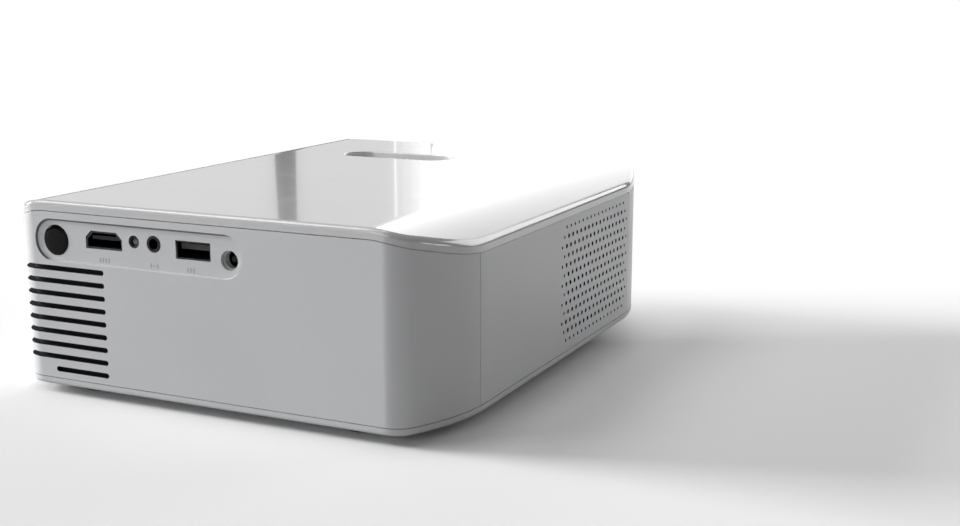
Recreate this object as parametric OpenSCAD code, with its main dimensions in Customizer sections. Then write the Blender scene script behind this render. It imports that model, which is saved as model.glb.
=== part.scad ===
// Compact video projector with a built-in tray disc drive.
// Millimetres, +Z up. The origin is the centre of the footprint, on the surface that the feet stand on.
// The lens looks along -Y, the sockets face +Y, the tray opens towards +X and the grille is on -X.

/* [Body] */
// Width across the socket face
body_w = 166.4; // [163:0.1:180]
// Depth from the lens face to the socket face
body_d = 204; // [202:0.5:220]
// Height of the body above its feet, at the middle of the crowned top
body_h = 63.3; // [63:0.1:72]
// Height of the rubber feet
foot_h = 3; // [2.5:0.1:5]
// Thickness of the outer walls
wall = 2.2; // [1.8:0.1:2.6]
// Small radius of a corner, beside the socket and lens faces
corner_tight_r = 9.4; // [8:0.1:12]
// Large radius of a corner, which runs out along the side
corner_easy_r = 66.3; // [60:0.1:80]
// Distance from the end face at which the side becomes straight
corner_run = 37.7; // [34:0.1:38]
// Radius of the shoulders of the crowned top
crown_r = 34; // [30:0.5:40]
// Width of each shoulder
crown_run = 22; // [18:0.5:24]
// Depth of the top cover's edge below its surface
cover_skirt = 3.4; // [3:0.1:4]
// Thickness of the top cover
cover_t = 2.2; // [1.8:0.1:2.4]
// Radius on the outer edge of the top cover
edge_r = 1.6; // [1:0.1:2]
// Radius on the lower edge of the bottom cover
base_edge_r = 1.2; // [0.6:0.1:1.8]
// Width of the visible joint lines
seam_gap = 0.25; // [0.15:0.05:0.4]
// Height of the joint line above the lower edge
base_rim = 2.5; // [2.3:0.1:3]
// Thickness of the floor
base_t = 2; // [1.6:0.1:2.2]
// Distance of the upright joint lines past the disc drive's sides
split_out = 5.5; // [5:0.1:6]
// Thickness of the lips behind the joint lines
lip_t = 1.5; // [1.2:0.1:2]
// Reach of a lip past its joint line
lip_reach = 4; // [3:0.5:5]

/* [Socket panel] */
// Distance of the recess's centre from the tray side
io_in = 58.85; // [58.2:0.05:59.7]
// Height of the recess's centre above the lower edge
io_z = 50.2; // [50:0.1:50.6]
// Width of the recess
io_w = 82.1; // [80:0.1:82.5]
// Height of the recess
io_h = 13.7; // [13:0.1:14]
// Radius of the recess's corners
io_r = 6.5; // [4:0.1:6.5]
// Depth of the recess
io_depth = 0.8; // [0.5:0.1:1]
// Width of the bevel round the recess
io_bevel = 0.6; // [0.3:0.1:0.8]
// Distance of the remote-control window from the recess's centre
ir_off = 33.15; // [32.65:0.1:33.65]
// Height of the window above the lower edge
ir_z = 50.1; // [49.8:0.1:50.4]
// Diameter of the window
ir_d = 10.1; // [8:0.1:10.4]
// Distance of the video socket from the recess's centre
hdmi_off = 13.15; // [12.65:0.1:13.65]
// Height of the video socket above the lower edge
hdmi_z = 51.4; // [51:0.1:51.8]
// Width of the video socket's shell
hdmi_w = 14.6; // [14:0.1:15]
// Height of the video socket's shell
hdmi_h = 5.65; // [5.4:0.05:5.8]
// Depth of the video socket
hdmi_depth = 12; // [10:0.5:14]
// Distance of the status light from the recess's centre
led_off = 0.85; // [0.65:0.1:1.15]
// Height of the light above the lower edge
led_z = 52; // [51.5:0.1:52.5]
// Diameter of the light pipe
led_d = 3.9; // [3:0.1:4.2]
// Distance of the audio socket from the recess's centre
jack_off = -7.05; // [-7.35:0.1:-6.75]
// Height of the audio socket above the lower edge
jack_z = 51.9; // [51.5:0.1:52.2]
// Bore of the audio socket
jack_d = 3.5; // [3.4:0.05:3.6]
// Outer diameter of the audio socket's nose
jack_nose_d = 5.2; // [5:0.1:5.6]
// Depth of the audio bore
jack_depth = 14; // [12:0.5:15]
// Distance of the data socket from the recess's centre
usb_off = -22.4; // [-22.65:0.05:-22.15]
// Height of the data socket above the lower edge
usb_z = 50.95; // [50.7:0.05:51.2]
// Width of the data socket's shell
usb_w = 13.1; // [12.8:0.1:13.4]
// Height of the data socket's shell
usb_h = 5.7; // [5.6:0.05:5.9]
// Depth of the data socket
usb_depth = 15; // [13:0.5:18]
// Distance of the power inlet from the recess's centre
dc_off = -36.15; // [-36.35:0.1:-35.95]
// Height of the power inlet above the lower edge
dc_z = 49.05; // [48.9:0.05:49.3]
// Diameter of the power inlet's hole in the shell
dc_d = 6.4; // [6.2:0.1:6.8]
// Bore of the power inlet
dc_bore_d = 5.6; // [5.5:0.05:5.8]
// Diameter of the power inlet's pin
dc_pin_d = 2.1; // [1.9:0.1:2.5]

/* [Vents] */
// Number of slots
vent_count = 9; // [7:1:9]
// Distance between slots
vent_pitch = 4.354; // [4.2:0.01:4.4]
// Clear height of a slot
vent_h = 1.75; // [1.4:0.05:2]
// Distance of the slots' inner ends from the tray side
vent_in = 45.55; // [43.25:0.1:47.25]
// Upper edge of the highest slot above the lower edge
vent_top = 41.55; // [41:0.1:42]
// Distance of the slots' side ends from the upright joint line
vent_past = 5.5; // [5:0.5:8]
// Distance of the short lowest slot's outer end from the tray side
vent_short_in = 23.2; // [21.2:0.5:27.2]

/* [Grille] */
// Distance between holes in a row
grille_pitch = 4.019; // [3.8:0.01:4.1]
// Number of rows
grille_rows = 13; // [9:2:13]
// Holes in the longest rows
grille_cols = 18; // [12:1:18]
// Diameter of the holes
grille_d = 1.7; // [1.2:0.1:2]
// Diameter of the holes round the border
grille_edge_d = 1.2; // [0.8:0.1:1.4]
// Centre of the pattern along the side
grille_y = -32.75; // [-33.5:0.05:-30]
// Height of the top row above the lower edge
grille_top = 48.5; // [47:0.1:48.6]

/* [Lens and light engine] */
// Sideways position of the lens axis
lens_x = 12; // [8:0.5:16]
// Height of the lens axis above the lower edge
lens_z = 40.4; // [40.2:0.1:41]
// Outer diameter of the sliding barrel
barrel_d = 26; // [24:0.5:27]
// Wall of the barrel
barrel_wall = 1.6; // [1.2:0.1:2]
// Distance of the barrel's mouth behind the lens face
barrel_set = 5; // [4.5:0.5:6]
// Length of the barrel
barrel_l = 36; // [32:1:40]
// Wall of the fixed lens tube
tube_wall = 2; // [1.6:0.1:2.2]
// Outer diameter of the focus ring
ring_d = 42.4; // [41:0.1:43]
// Width of the focus ring
ring_w = 11.6; // [8:0.1:12]
// Number of grip flutes on the focus ring
ring_flutes = 48; // [24:1:60]
// Distance of the focus ring's middle from the lens face
ring_set = 49; // [48:0.5:50]
// Radial thickness of the lens trim's flange
trim_flange = 1.5; // [1:0.1:2]
// Length of the finger well over the focus ring
well_l = 50; // [40:1:54]
// Width of the finger well
well_w = 16; // [15:0.5:18]
// Depth of the finger well
well_depth = 4; // [3.5:0.1:4.2]
// Width of the light engine's case
engine_w = 76; // [72:1:78]
// Wall of the light engine's case
engine_wall = 2; // [1.6:0.1:2.4]
// Width of the image panel
panel_w = 70; // [64:1:71]
// Thickness of the image panel
panel_t = 2; // [1.5:0.1:3]
// Diameter of the condenser lens
condenser_d = 34; // [30:1:35]
// Side of the lamp's base plate
lamp_w = 34; // [30:1:36]
// Width of the heatsink
sink_w = 50; // [40:1:56]
// Number of heatsink fins
fin_count = 15; // [9:1:17]
// Thickness of a fin
fin_t = 1.2; // [0.8:0.1:1.4]
// Depth of the fins
fin_l = 20; // [14:1:22]

/* [Fan] */
// Side of the fan's frame
fan_w = 45; // [40:1:45]
// Thickness of the fan
fan_t = 14; // [10:1:15]
// Distance of the fan's shaft from the tray side
fan_in = 28.2; // [27.7:0.1:29.2]
// Number of blades
fan_blades = 7; // [5:1:9]
// Pitch of the blades in degrees
fan_pitch = 38; // [25:1:42]

/* [Disc drive] */
// Width of the drive's case
drive_w = 128; // [127:0.5:129]
// Depth of the drive's case
drive_l = 126; // [124:0.5:127]
// Height of the drive's case
drive_h = 12.7; // [12.7:0.1:13]
// Thickness of the drive's sheet metal
sheet = 0.8; // [0.6:0.1:1]
// Height of the drive above the floor
drive_stand = 4.2; // [4:0.1:4.4]
// Thickness of the tray's bezel
bezel_t = 3.6; // [3:0.1:4]
// Height of the tray's bezel
bezel_h = 12; // [11:0.1:12.2]
// Diameter of the disc well
disc_d = 121.5; // [121:0.1:122]
// Diameter of the disc's centre hole
disc_hole_d = 15; // [15:0.1:15.2]
// Travel of the tray
tray_travel = 112; // [90:1:114]
// Width of a slide rail
rail_w = 2.2; // [2:0.1:2.3]
// Direction of the pickup's travel in degrees from +X
pickup_angle = -45; // [-48:1:-42]
// Travel of the pickup
pickup_travel = 35; // [30:1:35]
// Pitch of the lead screw
lead_pitch = 3; // [2:0.5:4]

/* [Boards and buttons] */
// Thickness of the circuit boards
board_t = 1.6; // [1.2:0.1:1.6]
// Diameter of a button
button_d = 7; // [6:0.1:8]
// Distance between buttons
button_pitch = 12; // [11:0.5:13]
// Height of the buttons above the lower edge
button_z = 38; // [34:0.5:40]
// Travel of a button
button_travel = 0.8; // [0.4:0.1:0.8]

/* [Speaker] */
// Diameter of the speaker
speaker_d = 40; // [34:1:42]
// Diameter of the speaker's magnet
magnet_d = 24; // [18:1:26]
// Depth of the speaker
speaker_h = 17; // [14:1:18]

/* [Feet and fastenings] */
// Diameter of the rubber feet
foot_d = 16; // [14:0.5:18]
// Distance of the feet from the sides
foot_in_x = 31; // [28:0.5:34]
// Distance of the feet from the end faces
foot_in_y = 15; // [14:0.5:20]
// Diameter of the cover posts
post_d = 8; // [7:0.5:9]
// Distance of the cover posts from the sides
post_in_x = 17.2; // [16.5:0.1:18]
// Distance of the cover posts from the end faces
post_in_y = 12; // [11.5:0.1:13]
// Shank diameter of the cover screws
screw_d = 2.6; // [2.4:0.1:3]
// Bore of the tripod insert
tripod_d = 5.2; // [5:0.1:5.4]
// Length of the tripod insert
tripod_l = 5.5; // [5:0.1:5.6]
// Diameter of the levelling foot's stud
stud_d = 6; // [5:0.5:6]
// Travel of the levelling foot
foot_travel = 12; // [6:1:12]
// Pitch of the levelling foot's thread
stud_pitch = 2; // [1.5:0.25:2]

/* [Fits] */
// Radial clearance of a shaft or sliding tube in its bore
run_fit = 0.05; // [0.03:0.01:0.08]
// Gap between a moving piece and what guides it
slide_gap = 0.3; // [0.2:0.05:0.4]
// Gap between two pieces that are fitted together
fit_gap = 0.15; // [0.1:0.05:0.2]

/* [Hidden] */
$fn = 96;

// Overlap of shapes that are joined or cut, so that no skin is left between them
joint = 1;
white = [0.93, 0.93, 0.94];
black = [0.08, 0.08, 0.09];
steel = [0.72, 0.73, 0.75];
board_green = [0.05, 0.35, 0.2];

// Outer sizes
half_w = body_w / 2;
half_d = body_d / 2;
top_z = foot_h + body_h;
seam_z = top_z - cover_skirt;
floor_z = foot_h + base_t;
rim_z = foot_h + base_rim;
split_y = drive_w / 2 + split_out;
// The two corner arcs touch, which fixes where the tight one meets the end face
corner_w = corner_easy_r - sqrt(pow(corner_easy_r - corner_tight_r, 2) - pow(corner_run - corner_tight_r, 2));

// Disc drive
drive_z = floor_z + drive_stand;
drive_top = drive_z + drive_h;
drive_front = half_w - bezel_t - 0.2;
drive_back = drive_front - drive_l;
disc_r = disc_d / 2;
tray_front_wall = 1.8;
disc_x = drive_front - tray_front_wall - 0.8 - disc_r;
tray_back = drive_back + 4.3;
tray_low = drive_z + sheet + 0.8;
deck_low = drive_z + 6.4;
deck_floor = deck_low + 1;
deck_top = drive_z + 10.4;
tray_half = drive_w / 2 - sheet - slide_gap - rail_w - slide_gap;
deck_half = drive_w / 2 - sheet - 2 * slide_gap;
skirt_t = 1.9;
rail_y = tray_half + slide_gap;
rail_low = drive_z + 2;
rail_high = drive_z + 5.6;
frame_low = drive_z + 1.8;
frame_top = frame_low + 1;
rod_z = drive_z + 4.4;
rod_r = 1;
hub_r = 11.5;
rod_a = -14;
rod_b = 10.5;
lead_v = 15.2;
lead_r = 1.5;
lead_core_r = 0.8;
motor_r = 1.9;
tower_in = 12;
tower_t = 1.7;
sled_in = tower_in + tower_t + 0.7;
sled_l = 12.5;
tower_out = sled_in + sled_l + pickup_travel + slide_gap;

// Sockets
rear = half_d;
panel_face = rear - io_depth;
rear_in = rear - wall;
port_face = rear - 0.3 - io_depth;
io_x = half_w - io_in;
ir_x = io_x + ir_off;
hdmi_x = io_x + hdmi_off;
led_x = io_x + led_off;
jack_x = io_x + jack_off;
usb_x = io_x + usb_off;
dc_x = io_x + dc_off;
vent_x = half_w - vent_in;
vent_short_x = half_w - vent_short_in;
vent_y = split_y + vent_past;

// Main board, on shelves of the rear shell and on struts of the base
board_l = 40;
board_z = foot_h + hdmi_z + hdmi_h / 2 + 0.35;
board_y0 = rear - board_l;
board_y1 = rear_in - 2.4;
board_x0 = dc_x - 18.2;
board_x1 = ir_x + 3;
shelf_d = 5;
shelf_xs = [dc_x - 12.2, ir_x - 9.9];
shelf_y = board_y1 - 3;
strut_xs = [board_x0 + 4, board_x0 + 54];
// The struts stand past the disc drive's side, and inside the board's near edge
strut_y = max(drive_w / 2 + 4, board_y0 + 5);
board_screw_r = 1;
// Processor with its heat spreader, memory and choke: place on the board, size and height
board_parts = [[22, 9, 18, 16, 1.6], [42.5, 10, 8, 12, 1.1], [64, 8, 10, 8, 1.4]];
plug_at = [62, 2];
plug_size = [20, 4, 3.6];

// Power board
power_w = 14.5;
power_l = 54;
power_x0 = -half_w + wall + 3;
power_x1 = power_x0 + power_w;
power_y0 = 6;
power_y1 = power_y0 + power_l;
power_z = floor_z + 4;
power_stand_in = 3.5;
can_r = 5;
can_h = 16;
coil_l = 13;
coil_h = 9;
cooler_t = 2.5;
cooler_h = 14;

// Posts of the cover screws
screw_head_r = 2.7;
post_split = 30;
post_x = half_w - post_in_x;
post_y = half_d - post_in_y;

// Lens and light engine
axis_z = foot_h + lens_z;
lens_face = -half_d;
barrel_r = barrel_d / 2;
barrel_y0 = lens_face + barrel_set;
barrel_y1 = barrel_y0 + barrel_l;
tube_r = barrel_r + run_fit + tube_wall;
ring_y = lens_face + ring_set;
ring_y0 = ring_y - ring_w / 2;
ring_y1 = ring_y + ring_w / 2;
flange_t = 2;
well_floor_t = 1.5;
well_floor = top_z - well_depth;
lamp_t = 2;
sink_base = 4;
sink_end = board_y0 - 1.05;
sink_y = sink_end - fin_l - sink_base;
lamp_y = sink_y - lamp_t;
// The light engine fills the length between the finger well and the lamp
engine_y0 = ring_y + well_w / 2 + well_floor_t + slide_gap;
engine_y1 = lamp_y - fit_gap;
engine_x0 = lens_x - engine_w / 2;
engine_x1 = lens_x + engine_w / 2;
engine_z0 = drive_top + slide_gap;
lid_t = 1.6;
engine_z1 = top_z - cover_t - 0.9;
case_top = engine_z1 - lid_t;
// Half the focus ring's chord at the underside of the well, with room round it
slot_half = sqrt(pow(ring_d / 2, 2) - pow(well_floor - well_floor_t - axis_z, 2)) + 0.8;
trim_r = barrel_r + 2.4;
trim_flange_t = 1.2;
panel_y = (engine_y0 + engine_y1) / 2 - 4;
fresnel_y = panel_y + 6;
condenser_y = engine_y1 - 19;

// Fan, just past the disc drive's side and the heatsink
fan_x = half_w - fan_in;
fan_z0 = floor_z + 3.3;
fan_z = fan_z0 + fan_w / 2;
fan_y0 = max(drive_w / 2 + 0.5, sink_end + 1);
fan_y1 = fan_y0 + fan_t;
fan_bore_r = fan_w / 2 - 1.5;
fan_hub_r = 10;
fan_gap = 0.8;
fan_pin_r = 1.5;
fan_corner_r = 4;
cradle_out = fan_w / 2 - 8.5;
cradle_half = 3;

// Speaker and buttons
button_count = 5;
speaker_z = foot_h + grille_top / 2 + 3;
speaker_x = -half_w + wall + fit_gap;
switch_x = half_w - 4.2;
button_x1 = half_w - 0.1;
button_x0 = switch_x + 0.1 + button_travel;
button_board_x = switch_x - 1.4 - board_t;
button_plane = foot_h + button_z;
button_board_half = (button_count - 1) / 2 * button_pitch + 15;

// Feet and fastenings
foot_sink = 0.6;
foot_bevel = 0.6;
foot_x = half_w - foot_in_x;
foot_y = half_d - foot_in_y;
tripod_x = -2;
tripod_out = 5;
tripod_z = foot_h + 0.2;
tilt_wheel_r = 9;
tilt_x = lens_x - 12;
tilt_y = -half_d + wall + fit_gap + lip_t + tilt_wheel_r + 3.2;
tilt_wheel_low = 1.7;
tilt_wheel_t = 2.6;
tilt_nut_r = stud_d / 2 + 2;
stud_top = tilt_wheel_low + tilt_wheel_t + foot_travel + 3;
tilt_boss_h = 9;
pad_r = 7;
intake_x = -half_w + 16;
intake_y = -62;
intake_pitch = 5;
intake_l = 16;
intake_count = 9;

// Flat shapes carried along an axis
module along_x(x0, x1) {
    translate([x0, 0, 0]) rotate([90, 0, 90]) linear_extrude(height = x1 - x0) children();
}

module along_y(y0, y1) {
    translate([0, y1, 0]) rotate([90, 0, 0]) linear_extrude(height = y1 - y0) children();
}

module along_z(z0, z1) {
    translate([0, 0, z0]) linear_extrude(height = z1 - z0) children();
}

// Grooves round a stud that runs along Z, one for each turn of its thread
module thread_grooves(r, from, to, pitch, depth) {
    for (z = [from + pitch / 2 : pitch : to - pitch / 2]) {
        translate([0, 0, z]) rotate_extrude() polygon([
            [r + joint, -pitch / 5], [r + joint, pitch / 5],
            [r - depth, pitch / 12], [r - depth, -pitch / 12]
        ]);
    }
}

module block(low, high) {
    translate(low) cube(high - low);
}

module round_rect(w, h, r) {
    square([w - 2 * r, h], center = true);
    square([w, h - 2 * r], center = true);
    for (sx = [-1, 1], sy = [-1, 1]) {
        translate([sx * (w / 2 - r), sy * (h / 2 - r)]) circle(r = r);
    }
}

module tube_y(y0, y1, r_out, r_in) {
    along_y(y0, y1) difference() {
        circle(r = r_out);
        circle(r = r_in);
    }
}

// One corner of the outline, drawn inwards from its sharp corner and drawn in by inset.
// A tight arc beside the end face runs on into an easy arc along the side.
module corner_fill(inset) {
    reach = (corner_tight_r + 6) / (corner_easy_r - corner_tight_r);
    far = [corner_w - (corner_easy_r - corner_w) * reach,
           corner_tight_r - (corner_run - corner_tight_r) * reach];
    intersection() {
        translate([inset, inset]) square([corner_w + joint - inset, corner_run + joint - inset]);
        union() {
            translate([corner_w, corner_tight_r]) circle(r = corner_tight_r - inset);
            intersection() {
                translate([corner_easy_r, corner_run]) circle(r = corner_easy_r - inset);
                polygon([[corner_w, corner_tight_r], [corner_w + 2 * joint, corner_tight_r],
                         [corner_w + 2 * joint, corner_run + 2 * joint], [-joint, corner_run + 2 * joint],
                         [-joint, far[1]], far]);
            }
        }
    }
}

// Outline of the body seen from above
module outline(inset = 0) {
    square([body_w - 2 * corner_w, body_d - 2 * inset], center = true);
    square([body_w - 2 * inset, body_d - 2 * corner_run], center = true);
    for (sx = [0, 1], sy = [0, 1]) {
        mirror([sx, 0]) mirror([0, sy]) translate([-half_w, -half_d]) corner_fill(inset);
    }
}

// Everything below the crowned top, whose middle lies at height z, drawn in by inset
module under_crown(z, inset = 0, low = -joint) {
    flat = half_w - crown_run;
    centre = z - crown_r;
    along_y(-half_d - joint, half_d + joint) {
        translate([-flat, low]) square([2 * flat, z - inset - low]);
        for (sx = [0, 1]) {
            mirror([sx, 0]) {
                translate([flat - joint, low]) square([crown_run + 2 * joint, centre - low]);
                intersection() {
                    translate([flat, centre]) circle(r = crown_r - inset);
                    translate([flat - joint, centre - joint]) {
                        square([crown_run + 2 * joint, crown_r + 2 * joint]);
                    }
                }
            }
        }
    }
}

// The side wall as a ring between two insets, from the lower joint line to the crowned one
module wall_ring(inset0, inset1, z0, seam) {
    intersection() {
        along_z(z0, top_z) difference() {
            outline(inset0);
            outline(inset1);
        }
        under_crown(seam);
    }
}

module part_of_ring(y0, y1) {
    intersection() {
        children();
        block([-half_w - joint, y0, -joint], [half_w + joint, y1, top_z + joint]);
    }
}

// A shell at one end of the body, with laps that reach behind the side panels
module end_shell(end) {
    y0 = split_y + seam_gap / 2;
    mirror([0, end]) {
        part_of_ring(y0, half_d + joint) wall_ring(0, wall, rim_z + seam_gap, seam_z - seam_gap);
        part_of_ring(y0, y0 + lip_reach) {
            wall_ring(wall - 0.3, wall + fit_gap + lip_t,
                      rim_z + seam_gap + lip_reach + 1, seam_z - lip_reach);
        }
        part_of_ring(split_y - lip_reach, y0 + lip_reach) {
            wall_ring(wall + fit_gap, wall + fit_gap + lip_t, rim_z + seam_gap + lip_reach + 1,
                      seam_z - lip_reach);
        }
    }
}

module side_panel(side) {
    mirror([side, 0, 0]) intersection() {
        part_of_ring(-split_y + seam_gap / 2, split_y - seam_gap / 2) {
            wall_ring(0, wall, rim_z + seam_gap, seam_z - seam_gap);
        }
        block([0, -half_d, -joint], [half_w + joint, half_d, top_z]);
    }
}

// Outer body of the top cover, rounded over along its edge
module cover_blank() {
    hull() {
        for (a = [0, 22.5, 45, 67.5, 90]) {
            intersection() {
                along_z(seam_z - 2 * crown_run / 3, top_z) outline(edge_r * (1 - cos(a)));
                under_crown(top_z - edge_r * (1 - sin(a)));
            }
        }
    }
}

module well_shape(grow) {
    translate([lens_x, ring_y]) round_rect(well_l + 2 * grow, well_w + 2 * grow, well_w / 2 + grow - 0.01);
}

module top_cover() {
    color(white) difference() {
        union() {
            difference() {
                cover_blank();
                under_crown(seam_z);
                intersection() {
                    along_z(0, top_z) outline(wall);
                    under_crown(top_z, cover_t);
                }
            }
            // Lip inside the walls
            difference() {
                intersection() {
                    along_z(foot_h, top_z) difference() {
                        outline(wall + fit_gap);
                        outline(wall + fit_gap + lip_t);
                    }
                    under_crown(top_z, cover_t / 2);
                }
                under_crown(seam_z - lip_reach + 0.6);
            }
            along_z(well_floor - well_floor_t, top_z - cover_t / 2) well_shape(well_floor_t);
            intersection() {
                at_posts() along_z(post_split + seam_gap, top_z) circle(d = post_d);
                under_crown(top_z, cover_t / 2);
            }
        }
        along_z(well_floor, top_z + joint) well_shape(0);
        block([lens_x - slot_half, ring_y0 - 0.7, well_floor - 2 * well_floor_t],
              [lens_x + slot_half, ring_y1 + 0.7, top_z]);
        at_posts() along_z(post_split - joint, post_split + 18) circle(d = screw_d + 2 * run_fit);
    }
}

// Holes of the rear shell
module io_recess() {
    translate([io_x, 0, foot_h + io_z]) {
        along_y(panel_face, rear + joint) round_rect(io_w, io_h, io_r);
        hull() {
            along_y(panel_face, panel_face + 0.01) round_rect(io_w, io_h, io_r);
            along_y(rear, rear + 0.01) round_rect(io_w + 2 * io_bevel, io_h + 2 * io_bevel, io_r + io_bevel);
        }
    }
}

// The narrow side of the video socket is up, because the board lies above it
module hdmi_outline(grow) {
    w = hdmi_w / 2 + grow;
    h = hdmi_h / 2 + grow;
    polygon([[-w, -h], [w, -h], [w, h - 2.2], [w - 2.2, h], [2.2 - w, h], [-w, h - 2.2]]);
}

module vent_slot(z, x1) {
    along_y(vent_y, rear + joint) {
        translate([vent_x + vent_h / 2, z]) circle(d = vent_h);
        translate([vent_x + vent_h / 2, z - vent_h / 2]) square([x1 - vent_x - vent_h / 2, vent_h]);
    }
}

module vents() {
    for (i = [0 : vent_count - 1]) {
        z = foot_h + vent_top - vent_h / 2 - i * vent_pitch;
        if (i < vent_count - 1) {
            vent_slot(z, half_w + joint);
        } else {
            along_y(rear - 2 * wall, rear + joint) {
                translate([(vent_x + vent_short_x) / 2, z]) {
                    round_rect(vent_short_x - vent_x, vent_h, vent_h / 2 - 0.01);
                }
            }
        }
    }
}

module rear_shell() {
    color(white) difference() {
        union() {
            difference() {
                end_shell(0);
                vents();
            }
            // Shelves for the main board
            for (x = shelf_xs) {
                block([x - shelf_d / 2, board_y1 - 6, board_z - 5],
                      [x + shelf_d / 2, rear_in + 0.5, board_z]);
            }
        }
        io_recess();
        translate([ir_x, 0, foot_h + ir_z]) along_y(rear_in - joint, rear) circle(d = ir_d + 2 * fit_gap);
        translate([hdmi_x, 0, foot_h + hdmi_z]) along_y(rear_in - joint, rear) hdmi_outline(fit_gap);
        translate([led_x, 0, foot_h + led_z]) along_y(rear_in - joint, rear) circle(d = led_d + 2 * fit_gap);
        translate([jack_x, 0, foot_h + jack_z]) along_y(rear_in - joint, rear) {
            circle(d = jack_nose_d + 2 * fit_gap);
        }
        translate([usb_x, 0, foot_h + usb_z]) along_y(rear_in - joint, rear) {
            square([usb_w + 2 * fit_gap, usb_h + 2 * fit_gap], center = true);
        }
        translate([dc_x, 0, foot_h + dc_z]) along_y(rear_in - joint, rear) circle(d = dc_d);
        for (x = shelf_xs) {
            translate([x, shelf_y, board_z - 4]) cylinder(h = 4 + joint, r = board_screw_r + 0.05);
        }
    }
}

module front_shell() {
    color(white) difference() {
        end_shell(1);
        translate([lens_x, 0, axis_z]) {
            along_y(lens_face - joint, lens_face + wall + joint) circle(r = trim_r + fit_gap);
            along_y(lens_face - joint, lens_face + trim_flange_t) circle(r = trim_r + trim_flange + fit_gap);
        }
    }
}

// Staggered holes in rows, with one hole fewer at each end of the first and last rows
module grille_holes() {
    row_step = grille_pitch * sin(60);
    for (row = [0 : grille_rows - 1]) {
        short = row % 2 == 1 ? 1 : (row == 0 || row == grille_rows - 1 ? 2 : 0);
        count = grille_cols - short;
        for (k = [0 : count - 1]) {
            border = row == 0 || row == grille_rows - 1 || k == 0 || k == count - 1;
            translate([-half_w - joint, grille_y + (k - (count - 1) / 2) * grille_pitch,
                       foot_h + grille_top - row * row_step]) {
                rotate([0, 90, 0]) {
                    cylinder(h = wall + 2 * joint, d = border ? grille_edge_d : grille_d, $fn = 24);
                }
            }
        }
    }
}

module grille_panel() {
    color(white) difference() {
        union() {
            side_panel(1);
            // Ribs that hold the speaker's rim
            for (sy = [-1, 1], sz = [-1, 1]) {
                translate([speaker_x - fit_gap - 0.4, grille_y + sy * speaker_d * 0.36,
                           speaker_z + sz * speaker_d * 0.36]) {
                    rotate([0, 90, 0]) difference() {
                        cylinder(h = 4, r = 2.4);
                        translate([0, 0, -joint]) cylinder(h = 6, r = 1);
                    }
                }
            }
        }
        grille_holes();
    }
}

module button_row() {
    for (i = [0 : button_count - 1]) {
        translate([0, (i - (button_count - 1) / 2) * button_pitch, button_plane]) children();
    }
}

module tray_side_panel() {
    color(white) difference() {
        union() {
            side_panel(0);
            for (sy = [-1, 1]) {
                translate([button_board_x + board_t, sy * (button_board_half - 4), button_plane]) {
                    rotate([0, 90, 0]) cylinder(h = half_w - 1 - button_board_x - board_t, r = 2.5);
                }
            }
        }
        block([half_w - wall - joint, -drive_w / 2 - 1.2, drive_z - 0.2],
              [half_w + joint, drive_w / 2 + 1.2, drive_z + bezel_h + 1]);
        button_row() along_x(half_w - wall - joint, half_w + joint) circle(d = button_d + 2 * fit_gap);
        for (sy = [-1, 1]) {
            translate([button_board_x, sy * (button_board_half - 4), button_plane]) {
                rotate([0, 90, 0]) cylinder(h = 5, r = board_screw_r + 0.05);
            }
        }
    }
}

// Outer body of the bottom cover, rounded over along its lower edge
module base_blank() {
    hull() {
        along_z(foot_h + base_edge_r, rim_z) outline();
        along_z(foot_h + base_edge_r * (1 - sin(45)), rim_z - 0.2) outline(base_edge_r * (1 - cos(45)));
        along_z(foot_h, rim_z - 0.4) outline(base_edge_r);
    }
}

module at_feet() {
    for (sx = [-1, 1], sy = [-1, 1]) {
        translate([sx * foot_x, sy * foot_y, 0]) children();
    }
}

module at_posts() {
    for (sx = [-1, 1], sy = [-1, 1]) {
        translate([sx * post_x, sy * post_y, 0]) children();
    }
}

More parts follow.
